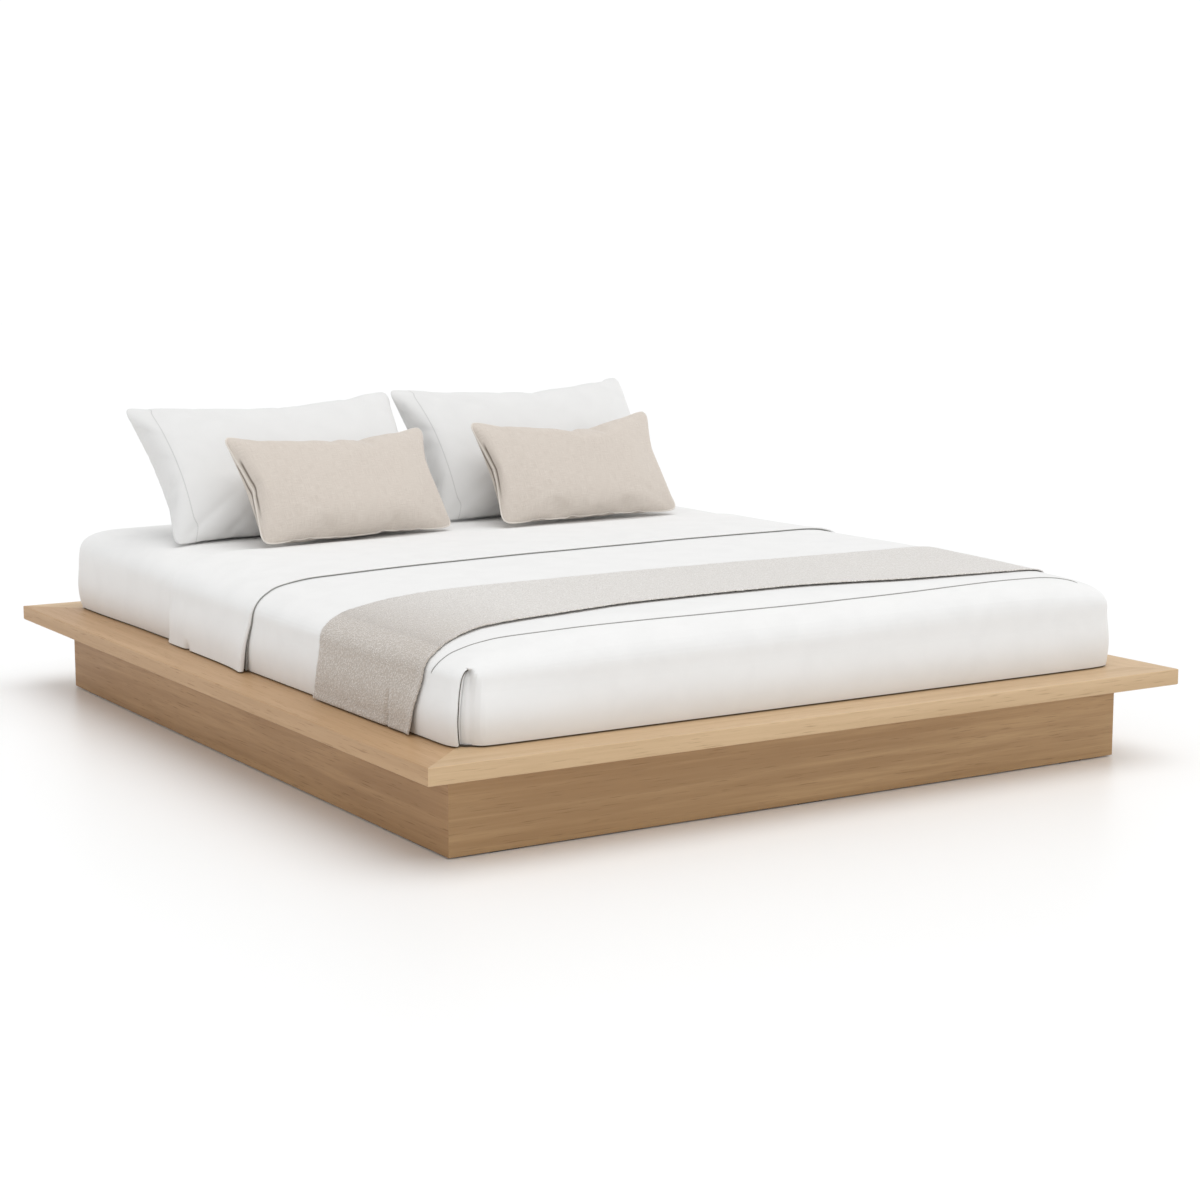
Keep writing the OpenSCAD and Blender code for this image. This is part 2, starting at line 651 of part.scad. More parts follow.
sheet_low = cloth_gap;
sheet_high = sheet_low + sheet_t;
cover_low = sheet_high + cloth_gap;
cover_high = cover_low + cover_t;
band_low = cover_high + cloth_gap;
hem_z = deck_top + hem_lift;

module fitted_sheet() color(linen_white) translate([mattress_x, 0, 0]) {
    outer = [for (row = skin_rows(sheet_high, hem_z)) ring(row)];
    inner = [for (row = skin_rows(sheet_low, hem_z)) ring(row)];
    rows = len(outer);
    cols = len(outer[0]);
    n = rows * cols + 1;
    polyhedron(
        concat(flat_list(outer), [[0, 0, mattress_top + sheet_high]],
               flat_list(inner), [[0, 0, mattress_top + sheet_low]]),
        concat(
            grid_faces(0, rows, cols, true, false), fan_faces(n - 1, n - 1 - cols, cols, true, false),
            grid_faces(n, rows, cols, true, true), fan_faces(2 * n - 1, 2 * n - 1 - cols, cols, true, true),
            rim_faces([for (j = [0:cols - 1]) j], n)
        )
    );
}

module bed_cover() color(linen_white) translate([mattress_x, 0, 0]) {
    outer = [for (row = skin_rows(cover_high, hem_z)) foot_loop(row, cover_end_y)];
    inner = [for (row = skin_rows(cover_low, hem_z)) foot_loop(row, cover_end_y)];
    rows = len(outer);
    cols = len(outer[0]);
    n = rows * cols + 1;
    loop = concat(
        [for (j = [0:cols - 1]) j], [for (i = [1:rows - 1]) i * cols + cols - 1],
        [n - 1], [for (i = [rows - 1:-1:1]) i * cols]
    );
    polyhedron(
        concat(flat_list(outer), [[0, cover_end_y, mattress_top + cover_high]],
               flat_list(inner), [[0, cover_end_y, mattress_top + cover_low]]),
        concat(
            grid_faces(0, rows, cols, false, false), fan_faces(n - 1, n - 1 - cols, cols, false, false),
            grid_faces(n, rows, cols, false, true),
            fan_faces(2 * n - 1, 2 * n - 1 - cols, cols, false, true), rim_faces(loop, n)
        )
    );
}

// A band of cloth across the bed. Its outline at an offset o from the mattress runs from the left hem to
// the right one, and each of its points is x and z.
side_drop = mattress_top - hem_z;
function band_outline(o) = let (left = [for (row = skin_rows(o, hem_z)) [-row[0], row[3]]])
    concat(left, [for (i = [len(left) - 1:-1:0]) [-left[i][0], left[i][1]]]);
function hang_share(z) = max(0, mattress_top - z) / side_drop;
// One grid row of a band: every point of the outline, at y and swung to the head as it hangs
function band_row(o, y, swing) = [for (p = band_outline(o)) [p[0], y + swing * hang_share(p[1]), p[1]]];
head_end_y = mattress_l / 2;
cover_end_y = head_end_y - cover_back;
turn_fold_y = head_end_y - turn_fold_back;
turn_end_y = head_end_y - turn_end_back;
runner_y = runner_gap - mattress_l / 2;

// How far from its fold the turned-down sheet grows thin
fold_fade = 150;
module sheet_turndown() color(linen_white) translate([mattress_x, 0, 0]) {
    stations = [
        [turn_fold_y, turn_t / 2, turn_swing], [turn_fold_y + turn_t, turn_t, turn_swing],
        [turn_fold_y + fold_fade, turn_thin_t, turn_swing / 2], [turn_end_y, turn_thin_t, 0]
    ];
    sheet_solid(
        [for (s = stations) band_row(band_low + s[1], s[0], s[2])],
        [for (s = stations) band_row(band_low, s[0], s[2])]
    );
}
module bed_runner() color(runner_grey) translate([mattress_x, 0, 0]) {
    stations = [
        [runner_y, runner_t / 2], [runner_y + runner_t, runner_t],
        [runner_y + runner_w - runner_t, runner_t], [runner_y + runner_w, runner_t / 2]
    ];
    sheet_solid(
        [for (s = stations) band_row(band_low + s[1], s[0], runner_swing)],
        [for (s = stations) band_row(band_low, s[0], runner_swing)]
    );
}

// Pillows: crowned, with sides drawn in between the corners
pillow_cols = 18;
pillow_rows = 12;
crown_flatness = 2.6;
crown_fullness = 0.62;
function fallen(t) = 1 - pow(abs(t), crown_flatness);
function crown(u, v) = pow(fallen(u) * fallen(v), crown_fullness);
function stuffed(w, h, t, side) = [for (i = [0:pillow_rows]) [for (j = [0:pillow_cols])
    let (u = -cos(180 * j / pillow_cols), v = -cos(180 * i / pillow_rows))
        [
            w / 2 * u * (1 - draw_in * (1 - v * v) * abs(u)),
            h / 2 * v * (1 - draw_in_long * (1 - u * u) * abs(v)),
            side * (seam_t + (t - seam_t) * crown(u, v)) / 2
        ]]];
// Leans a point back from upright, then turns it in plan
function leaned(p, lean, turn) = let (
    y = p[1] * sin(lean) - p[2] * cos(lean),
    z = p[1] * cos(lean) + p[2] * sin(lean))
    [p[0] * cos(turn) - y * sin(turn), p[0] * sin(turn) + y * cos(turn), z];
module padded_piece(w, h, t, lean, turn, x, y, floor_z) {
    front = [for (row = stuffed(w, h, t, 1)) [for (p = row) leaned(p, lean, turn)]];
    back = [for (row = stuffed(w, h, t, -1)) [for (p = row) leaned(p, lean, turn)]];
    lowest = min([for (row = concat(front, back), p = row) p[2]]);
    translate([x, y, floor_z + rest_gap - lowest]) sheet_solid(front, back);
}
pillow_turn = 2;
cushion_left_turn = 9;
cushion_right_turn = 3;
pillow_floor = mattress_top + sheet_high;
cushion_floor = mattress_top + band_low + turn_thin_t;
module pillow(turn, x, back) color(linen_white)
    padded_piece(pillow_w, pillow_h, pillow_t, pillow_lean, turn, x, head_end_y - back, pillow_floor);
module cushion(turn, x, back) color(cushion_beige)
    padded_piece(cushion_w, cushion_h, cushion_t, cushion_lean, turn, x, head_end_y - back, cushion_floor);
module pillow_left() pillow(pillow_turn, -pillow_left_x, pillow_left_back);
module pillow_right() pillow(pillow_turn, pillow_right_x, pillow_right_back);
module cushion_left() cushion(cushion_left_turn, -cushion_left_x, cushion_left_back);
module cushion_right() cushion(cushion_right_turn, cushion_right_x, cushion_right_back);

deck_board_left();
deck_board_right();
deck_board_foot();
deck_board_head();
mitre_tenons();
plinth_left();
plinth_right();
plinth_foot();
plinth_head();
corner_post_foot_left();
corner_post_foot_right();
corner_post_head_left();
corner_post_head_right();
bearer_left();
bearer_right();
bearer_foot();
bearer_head();
slat_strip_left();
slat_strip_right();
centre_rail();
rail_hangers();
centre_leg_1();
centre_leg_2();
centre_leg_3();
leg_studs();
threaded_inserts();
level_foot_1();
level_foot_2();
level_foot_3();
floor_pads();
deck_screws();
bearer_screws();
post_screws();
strip_screws();
slat_screws();
hanger_screws();
corner_bolts();
for (i = [1:slat_count]) slat(i);
mattress();
fitted_sheet();
bed_cover();
sheet_turndown();
bed_runner();
pillow_left();
pillow_right();
cushion_left();
cushion_right();
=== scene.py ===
"""Dresses a low platform double bed: oak and metal finishes, made-up bedding, studio and camera.

Lengths are metres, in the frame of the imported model: +X to the right seen from the foot, +Y to the
head, +Z up, with the origin on the floor under the middle of the deck.

The bedding's classes share some fields: skin is the made bed's outline, cell the size of a face, lift
how far a layer's middle lies above the mattress, thickness its thickness, and cloth its finish. Their
own lists of attributes give the rest.
"""

from __future__ import annotations

import json
import logging
import math
from bisect import bisect_right
from collections.abc import Iterable, Sequence
from dataclasses import dataclass, replace
from enum import Enum

import bmesh
import bpy
from bmesh.types import BMEdge, BMesh, BMFace, BMVert
from bpy.types import Material, Mesh, Object
from mathutils import Matrix, Vector, noise
from mathutils.bvhtree import BVHTree

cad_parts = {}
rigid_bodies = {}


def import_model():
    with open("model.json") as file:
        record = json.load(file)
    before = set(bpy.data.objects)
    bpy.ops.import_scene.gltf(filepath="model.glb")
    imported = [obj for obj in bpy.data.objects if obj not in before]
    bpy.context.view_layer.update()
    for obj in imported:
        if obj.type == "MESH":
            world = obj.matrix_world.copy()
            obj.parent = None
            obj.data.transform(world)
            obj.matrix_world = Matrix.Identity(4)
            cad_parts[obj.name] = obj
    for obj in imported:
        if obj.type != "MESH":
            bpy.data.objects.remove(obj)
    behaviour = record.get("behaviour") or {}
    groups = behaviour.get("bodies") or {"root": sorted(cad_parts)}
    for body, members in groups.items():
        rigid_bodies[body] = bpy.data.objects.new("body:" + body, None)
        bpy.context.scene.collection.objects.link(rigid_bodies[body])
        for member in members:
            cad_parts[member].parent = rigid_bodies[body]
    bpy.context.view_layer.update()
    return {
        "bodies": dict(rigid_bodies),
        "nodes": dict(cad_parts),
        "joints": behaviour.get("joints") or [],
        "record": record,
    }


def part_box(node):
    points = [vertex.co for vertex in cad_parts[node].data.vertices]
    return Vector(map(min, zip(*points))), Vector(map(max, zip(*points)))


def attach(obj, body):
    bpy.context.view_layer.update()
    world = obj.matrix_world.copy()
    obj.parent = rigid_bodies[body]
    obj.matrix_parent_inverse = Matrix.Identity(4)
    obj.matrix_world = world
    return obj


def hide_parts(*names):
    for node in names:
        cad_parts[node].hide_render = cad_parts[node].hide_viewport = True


LOG = logging.getLogger("bed")
BEDDING = "bedding"
WELD = 1e-5
OVERHEAD = 0.9
WHITE = ((0.835, 0.83, 0.82), (0.80, 0.795, 0.785))

Pair = tuple[float, float]
Triple = tuple[float, float, float]
Colour = Triple
Stops = tuple[Pair, ...]


def mm(length: float) -> float:
    """Millimetres in metres."""
    return length / 1000


def clamp(value: float, low: float = 0.0, high: float = 1.0) -> float:
    """The value held between two limits."""
    return max(low, min(high, value))


def ease(start: float, end: float, value: float) -> float:
    """A smooth step from 0 at start to 1 at end."""
    share = clamp((value - start) / (end - start))
    return share * share * (3 - 2 * share)


def through(stops: Sequence[Pair], value: float) -> float:
    """The height at value of a smooth curve through stops.

    Args:
        stops: places and heights, in rising order of place.
        value: where to read the curve.

    Returns:
        The height, which keeps its end values beyond the first and the last stop.
    """
    places = [place for place, _ in stops]
    heights = [height for _, height in stops]
    if value <= places[0]:
        return heights[0]
    if value >= places[-1]:
        return heights[-1]
    at = bisect_right(places, value) - 1
    span = places[at + 1] - places[at]
    slopes = []
    for index in (at, at + 1):
        before, after = max(index - 1, 0), min(index + 1, len(stops) - 1)
        slopes.append(span * (heights[after] - heights[before]) / (places[after] - places[before]))
    share = (value - places[at]) / span
    square, cube = share ** 2, share ** 3
    return (
        (2 * cube - 3 * square + 1) * heights[at]
        + (cube - 2 * square + share) * slopes[0]
        + (3 * square - 2 * cube) * heights[at + 1]
        + (cube - square) * slopes[1]
    )


def evenly(first: float, last: float, step: float) -> list[float]:
    """Places from first to last, no further apart than step."""
    steps = math.ceil((last - first) / step)
    return [first + (last - first) * index / steps for index in range(steps + 1)]


def hill(value: float, middle: float, width: float) -> float:
    """A smooth hill: 1 at its middle, and about a third one width away."""
    return math.exp(-((value - middle) / width) ** 2)


def toned(colour: Colour, tone: Colour | float) -> Colour:
    """A colour times a tone: one share for every channel, or a share for each."""
    shares = tone if isinstance(tone, tuple) else (tone, tone, tone)
    return tuple(channel * share for channel, share in zip(colour, shares))


class Wire:
    """An output socket that stands in arithmetic and adds the Math nodes that it needs."""

    def __init__(self, tree: Tree, socket: bpy.types.NodeSocket) -> None:
        """Keeps the socket and the tree that it is in."""
        self.tree = tree
        self.socket = socket

    def __add__(self, other: Wire | float) -> Wire:
        """The sum."""
        return self.tree.maths("ADD", self, other)

    __radd__ = __add__

    def __sub__(self, other: Wire | float) -> Wire:
        """The difference."""
        return self.tree.maths("SUBTRACT", self, other)

    def __rsub__(self, other: Wire | float) -> Wire:
        """The difference, taken from a number."""
        return self.tree.maths("SUBTRACT", other, self)

    def __mul__(self, other: Wire | float) -> Wire:
        """The product."""
        return self.tree.maths("MULTIPLY", self, other)

    __rmul__ = __mul__

    def __abs__(self) -> Wire:
        """The size without its sign."""
        return self.tree.maths("ABSOLUTE", self)

    def sine(self) -> Wire:
        """The sine of the value, taken as an angle."""
        return self.tree.maths("SINE", self)

    def waves(self, pitch: float) -> Wire:
        """Even waves from -1 to 1, a pitch apart."""
        return (self * (2 * math.pi / pitch)).sine()

    def band(self, start: float, end: float) -> Wire:
        """A smooth step from 0 at start to 1 at end."""
        settings = {"interpolation_type": "SMOOTHSTEP"}
        sockets = {"Value": self, "From Min": start, "From Max": end}
        return self.tree.wire("ShaderNodeMapRange", settings, sockets, "Result")


class Tree:
    """The nodes of a material or of the world."""

    def __init__(self, owner: Material | bpy.types.World, shader: str) -> None:
        """Starts with only the output and the shader of that name."""
        owner.use_nodes = True
        self.nodes = owner.node_tree.nodes
        self.links = owner.node_tree.links
        self.shader = self.nodes[shader]

    def node(self, kind: str, settings: dict[str, object] | None = None,
             sockets: dict[str | int, object] | None = None) -> bpy.types.Node:
        """Adds one node.

        Args:
            kind: the node's type.
            settings: its own settings, set first; stops holds a colour ramp's places and colours.
            sockets: values or wires for its inputs, by name or place.

        Returns:
            The node.
        """
        made = self.nodes.new(kind)
        for name, value in (settings or {}).items():
            if name == "stops":
                self._set_stops(made.color_ramp, value)
            else:
                setattr(made, name, value)
        for name, value in (sockets or {}).items():
            self._feed(made.inputs[name], value)
        return made

    def wire(self, kind: str, settings: dict[str, object] | None = None,
             sockets: dict[str | int, object] | None = None, output: str | int = 0) -> Wire:
        """Adds one node and gives one of its outputs."""
        return Wire(self, self.node(kind, settings, sockets).outputs[output])

    def maths(self, operation: str, *values: Wire | float) -> Wire:
        """Adds a Math node."""
        return self.wire("ShaderNodeMath", {"operation": operation}, dict(enumerate(values)))

    def set(self, **values: object) -> None:
        """Sets the shader's own sockets; a name's underscores stand for spaces."""
        for name, value in values.items():
            self._feed(self.shader.inputs[name.replace("_", " ")], value)

    def mix(self, share: Wire | float, first: object, second: object, blend: str = "MIX") -> Wire:
        """Mixes two colours by a share."""
        settings = {"data_type": "RGBA", "blend_type": blend}
        return self.wire("ShaderNodeMix", settings, {0: share, 6: first, 7: second}, 2)

    def _feed(self, socket: bpy.types.NodeSocket, value: object) -> None:
        """Links a wire, or sets a number, colour or vector."""
        if isinstance(value, Wire):
            self.links.new(value.socket, socket)
            return
        if isinstance(value, tuple) and socket.type == "RGBA":
            value = (*value, 1.0)
        socket.default_value = value

    @staticmethod
    def _set_stops(ramp: bpy.types.ColorRamp, stops: Sequence[tuple[float, Colour]]) -> None:
        """Gives a colour ramp its stops."""
        while len(ramp.elements) < len(stops):
            ramp.elements.new(1.0)
        for element, (where, colour) in zip(ramp.elements, stops):
            element.position = where
            element.color = (*colour, 1.0)


class FinishTree(Tree):
    """The nodes of one finish."""

    def __init__(self, name: str) -> None:
        """Starts a material with only its output and its shader."""
        self.material = bpy.data.materials.new(name)
        super().__init__(self.material, "Principled BSDF")

    def place(self, stretch: Triple = (1, 1, 1), shift: Triple = (0, 0, 0)) -> Wire:
        """The object's own coordinates in metres, stretched and shifted."""
        spot = self.wire("ShaderNodeTexCoord", output="Object")
        return self.wire("ShaderNodeMapping", None, {"Vector": spot, "Scale": stretch, "Location": shift})

    def cloth_place(self, stretch: Triple = (1, 1, 1)) -> Wire:
        """The piece's own flat coordinates in metres, stretched."""
        spot = self.wire("ShaderNodeTexCoord", output="UV")
        return self.wire("ShaderNodeMapping", None, {"Vector": spot, "Scale": stretch})

    def grain(self, where: Wire, scale: float = 1.0, detail: float = 3.0, roughness: float = 0.55,
              distortion: float = 0.0) -> Wire:
        """A noise.

        Args:
            where: the place that it is read at.
            scale: how fine it is.
            detail: how many finer layers it has.
            roughness: how strong those are.
            distortion: how far it is bent.

        Returns:
            The noise, from 0 to 1.
        """
        sockets = {"Vector": where, "Scale": scale, "Detail": detail, "Roughness": roughness,
                   "Distortion": distortion}
        return self.wire("ShaderNodeTexNoise", None, sockets, 0)

    def cells(self, where: Wire, scale: float, jitter: float = 1.0) -> Wire:
        """The distance to the nearest of scattered points."""
        sockets = {"Vector": where, "Scale": scale, "Randomness": jitter}
        return self.wire("ShaderNodeTexVoronoi", None, sockets, "Distance")

    def axis(self, where: Wire, name: str) -> Wire:
        """One coordinate of a place: X, Y or Z."""
        return self.wire("ShaderNodeSeparateXYZ", None, {"Vector": where}, name)

    def relief(self, height: Wire, depth: float, strength: float = 1.0) -> None:
        """Raises the surface by height times depth."""
        sockets = {"Height": height, "Distance": depth, "Strength": strength}
        self.set(Normal=self.wire("ShaderNodeBump", None, sockets))


class Finish:
    """A finish that can be made into a material; each kind adds its own nodes."""

    def make(self, name: str) -> Material:
        """Builds the material of that name."""
        tree = FinishTree(name)
        self.fill(tree)
        return tree.material

    def fill(self, tree: FinishTree) -> None:
        """Adds the finish's nodes to a material's tree."""
        raise NotImplementedError


class Grain(Enum):
    """The way that wood grain runs: the stretch of the pattern along X, Y and Z."""

    ALONG_X = (0.035, 1.0, 1.0)
    ALONG_Y = (1.0, 0.035, 1.0)
    UPRIGHT = (1.0, 1.0, 0.035)


@dataclass(frozen=True)
class OakVeneer(Finish):
    """Straight-grained oak under a satin lacquer.

    Attributes:
        light: the colour between the streaks.
        dark: the colour of the streaks.
        pore: the colour of the open pores.
        streaks: how strong the streaks are.
        roughness: the lacquer's roughness.
        grain: the way that the grain runs.
        shift: moves the pattern, so that no two boards are alike.
    """

    light: Colour
    dark: Colour
    pore: Colour
    streaks: float = 0.5
    roughness: float = 0.39
    grain: Grain = Grain.ALONG_Y
    shift: float = 0.0

    def toned(self, tone: Colour) -> OakVeneer:
        """The same veneer in another tone."""
        light, dark, pore = (toned(colour, tone) for colour in (self.light, self.dark, self.pore))
        return replace(self, light=light, dark=dark, pore=pore)

    def fill(self, tree: FinishTree) -> None:
        """Adds growth streaks, fibres and open pores along the grain."""
        place = tree.place(self.grain.value, (self.shift, self.shift * 0.7, self.shift * 0.4))
        broad = tree.grain(place, 9.0, 2.0, 0.5, 0.6)
        streak = tree.grain(place, 46.0, 4.0, 0.62, 0.35)
        fibre = tree.grain(place, 260.0, 3.0, 0.6)
        tone = (broad * 0.45 + streak * self.streaks + fibre * 0.18).band(0.30, 0.86)
        body = tree.mix(tone, self.light, self.dark)
        pores = tree.grain(place, 420.0, 2.0, 0.5).band(0.60, 0.74) * 0.55
        tree.set(
            Base_Color=tree.mix(pores, body, self.pore),
            Roughness=(streak * 0.14 + pores * 0.2 + self.roughness),
            Coat_Roughness=0.3,
            Specular_IOR_Level=0.4,
        )
        tree.relief(1 - pores * 0.8 - fibre * 0.3, mm(0.12), 0.5)


@dataclass(frozen=True)
class PlainTimber(Finish):
    """Planed wood without a finish, with growth rings and soft fibres.

    Attributes:
        rings: how close the rings lie.
        grain: the way that the grain runs.
        shift: moves the pattern, so that no two pieces are alike.
    """

    light: Colour
    dark: Colour
    rings: float = 26.0
    grain: Grain = Grain.ALONG_X
    shift: float = 0.0

    def fill(self, tree: FinishTree) -> None:
        """Adds the finish's nodes."""
        place = tree.place(self.grain.value, (self.shift, self.shift, self.shift))
        bend = tree.grain(place, 7.0, 2.0, 0.5, 0.8)
        ring = (bend * self.rings * 2).sine() * 0.5 + 0.5
        fibre = tree.grain(place, 210.0, 3.0, 0.6)
        tone = ring * 0.5 + fibre * 0.35
        knot = 1 - tree.cells(place, 2.3).band(0.02, 0.07)
        body = tree.mix(tone, self.light, self.dark)
        tree.set(
            Base_Color=tree.mix(knot * 0.8, body, toned(self.dark, 0.62)),
            Roughness=0.62 + fibre * 0.14,
            Specular_IOR_Level=0.35,
        )
        tree.relief(fibre * 0.6 - ring * 0.2, mm(0.18), 0.6)


@dataclass(frozen=True)
class PlatedMetal(Finish):
    """Metal with a plated, blackened or turned surface; spangle is how fine its patches are."""

    colour: Colour
    roughness: float = 0.32
    spangle: float = 120.0
    metallic: float = 1.0

    def fill(self, tree: FinishTree) -> None:
        """Adds the finish's nodes."""
        place = tree.place()
        patch = tree.grain(place, self.spangle, 3.0, 0.55)
        scratch = tree.grain(tree.place((1, 1, 9)), 600.0, 2.0, 0.5)
        worn = tuple(min(1.0, channel * 1.25 + 0.02) for channel in self.colour)
        tree.set(
            Base_Color=tree.mix(patch.band(0.35, 0.75), self.colour, worn),
            Metallic=self.metallic,
            Roughness=patch * 0.16 + scratch * 0.1 + self.roughness - 0.1,
        )
        tree.relief(patch * 0.5 + scratch * 0.3, mm(0.05), 0.4)


@dataclass(frozen=True)
class MouldedPlastic(Finish):
    """Dark plastic with a fine spark-eroded surface."""

    colour: Colour

    def fill(self, tree: FinishTree) -> None:
        """Adds the finish's nodes."""
        place = tree.place()
        pits = tree.grain(place, 900.0, 2.0, 0.6)
        rub = tree.grain(place, 40.0, 3.0, 0.5).band(0.4, 0.8)
        lighter = tuple(channel * 1.7 + 0.01 for channel in self.colour)
        tree.set(Base_Color=tree.mix(rub * 0.5, self.colour, lighter), Roughness=0.48 + pits * 0.14)
        tree.relief(pits, mm(0.06), 0.5)


@dataclass(frozen=True)
class PressedFelt(Finish):
    """Matted wool fibres."""

    colour: Colour

    def fill(self, tree: FinishTree) -> None:
        """Adds the finish's nodes."""
        hair = tree.grain(tree.place(), 500.0, 4.0, 0.7, 1.5)
        body = tree.mix(hair.band(0.35, 0.7), self.colour, toned(self.colour, 1.9))
        tree.set(Base_Color=body, Roughness=0.92, Sheen_Weight=0.3)
        tree.relief(hair, mm(0.5), 0.8)


@dataclass(frozen=True)
class Percale(Finish):
    """Smooth white cotton: a fine plain weave that shows faint creases.

    Attributes:
        colour: its colour.
        shade: its colour in the creases.
        crease: how deep the creases are.
        hem_at: the flat X where a hem's stitch line runs, if there is one.
        hem_width: that line's width.
        thread: the pitch of the weave.
        stitch: the pitch of the stitches.
    """

    colour: Colour
    shade: Colour
    crease: float = 0.35
    hem_at: float | None = None
    hem_width: float = mm(1.1)
    thread: float = mm(0.9)
    stitch: float = mm(3.4)

    def fill(self, tree: FinishTree) -> None:
        """Adds the weave, its creases and the hem's stitch line."""
        flat = tree.cloth_place()
        warp = tree.axis(flat, "X").waves(self.thread)
        weft = tree.axis(flat, "Y").waves(self.thread)
        soft = tree.grain(flat, 14.0, 4.0, 0.5, 0.4)
        slub = tree.grain(tree.cloth_place((1.0, 0.06, 1.0)), 520.0, 2.0, 0.5)
        tone = soft.band(0.32, 0.72) * 0.6 + slub * 0.3
        body = tree.mix(tone, self.colour, self.shade)
        height = soft * self.crease + warp * weft * 0.012 + slub * 0.02
        if self.hem_at is not None:
            near = abs(tree.axis(flat, "X") - self.hem_at)
            line = 1 - near.band(self.hem_width * 0.5, self.hem_width * 1.6)
            dash = tree.axis(flat, "Y").waves(self.stitch).band(-0.4, 0.2)
            body = tree.mix(line * (dash * 0.35 + 0.4), body, toned(self.shade, 0.72))
            height = height - line * (0.55 - dash * 0.3)
        tree.set(Base_Color=body, Roughness=0.78 + slub * 0.08, Sheen_Weight=0.12, Sheen_Roughness=0.5,
                 Specular_IOR_Level=0.25)
        tree.relief(height, mm(1.6), 0.55)


@dataclass(frozen=True)
class Boucle(Finish):
    """A nubby loop weave: pale loops over a greyer ground, with painted shade where it hangs down the sides.

    Attributes:
        loop: the loops' colour.
        ground: the colour between them.
        painted_shade_middle: the flat X of the middle between the two hanging ends.
        painted_shade_at: how far from there the painted shade starts, and where it is full.
        painted_shade_tint: the tint of that painted shade, for the sides that get less light.
        nub: the size of a loop.
    """

    loop: Colour
    ground: Colour
    painted_shade_middle: float = 0.15
    painted_shade_at: Pair = (0.62, 1.02)
    painted_shade_tint: Colour = (0.70, 0.66, 0.625)
    nub: float = mm(4.2)

    def fill(self, tree: FinishTree) -> None:
        """Adds the finish's nodes."""
        flat = tree.cloth_place()
        wander = tree.grain(flat, 60.0, 2.0, 0.5)
        bent = tree.wire("ShaderNodeVectorMath", {"operation": "ADD"},
                         {0: flat, 1: self._push(tree, wander)})
        loops = tree.cells(bent, 1 / self.nub)
        yarn = tree.grain(tree.cloth_place((0.14, 1.0, 1.0)), 620.0, 3.0, 0.6)
        fleck = tree.grain(flat, 330.0, 2.0, 0.5).band(0.42, 0.68)
        height = 1 - loops.band(0.05, 0.75)
        tone = (height * 0.5 + fleck * 0.3 + yarn * 0.45).band(0.18, 1.02)
        body = tree.mix(tone, self.ground, self.loop)
        # painted shade: the hanging ends are darkened because the bed's sides get less light than its top
        shaded_ends = abs(tree.axis(flat, "X") - self.painted_shade_middle).band(*self.painted_shade_at)
        body = tree.mix(shaded_ends, body, self.painted_shade_tint, "MULTIPLY")
        tree.set(Base_Color=body, Roughness=0.86 + yarn * 0.08, Sheen_Weight=0.8, Sheen_Roughness=0.45,
                 Specular_IOR_Level=0.2)
        tree.relief(height + yarn * 0.25, mm(1.3), 0.75)

    def _push(self, tree: FinishTree, amount: Wire) -> Wire:
        """A small sideways push of the loops' places."""
        sockets = {"X": amount * self.nub, "Y": amount * (-self.nub), "Z": 0.0}
        return tree.wire("ShaderNodeCombineXYZ", None, sockets)


@dataclass(frozen=True)
class WashedLinen(Finish):
    """A slubby plain weave with crossing thick and thin threads.

    Attributes:
        colour: its colour.
        shade: the colour of its thin threads.
        light: the colour of its thick threads.
        crease_shade: the colour of the painted shade in the crease beside the seam.
        crease_shade_at: the flat X of that painted shade, if there is one.
        crease_shade_half: its half width, where it is dark and where it has faded.
        crease_shade_low: the flat Y where it starts, and where it is full.
        crease_shade_high: the flat Y where it thins out, and where it ends.
    """

    colour: Colour
    shade: Colour
    light: Colour
    crease_shade: Colour = (0.20, 0.165, 0.135)
    crease_shade_at: float | None = None
    crease_shade_half: Pair = (mm(0.5), mm(4))
    crease_shade_low: Pair = (-0.09, -0.03)
    crease_shade_high: Pair = (0.055, 0.08)

    def fill(self, tree: FinishTree) -> None:
        """Adds the finish's nodes."""
        warp = tree.grain(tree.cloth_place((1.0, 0.045, 1.0)), 900.0, 3.0, 0.6)
        weft = tree.grain(tree.cloth_place((0.045, 1.0, 1.0)), 900.0, 3.0, 0.6)
        flat = tree.cloth_place()
        fade = tree.grain(flat, 9.0, 3.0, 0.55, 0.5)
        weave = warp * 0.5 + weft * 0.5
        body = tree.mix(weave.band(0.34, 0.68), self.shade, self.light)
        body = tree.mix(fade.band(0.3, 0.75) * 0.5, body, self.colour)
        # painted shade: a dark line in the crease beside the seam, where the cord's groove lies in shadow
        if self.crease_shade_at is not None:
            along = tree.axis(flat, "Y")
            near = 1 - abs(tree.axis(flat, "X") - self.crease_shade_at).band(*self.crease_shade_half)
            inside = along.band(*self.crease_shade_low) * (1 - along.band(*self.crease_shade_high))
            body = tree.mix(near * inside, body, self.crease_shade)
        tree.set(Base_Color=body, Roughness=0.8 + weave * 0.1, Sheen_Weight=0.2, Sheen_Roughness=0.5,
                 Specular_IOR_Level=0.2)
        tree.relief(weave, mm(0.7), 0.7)


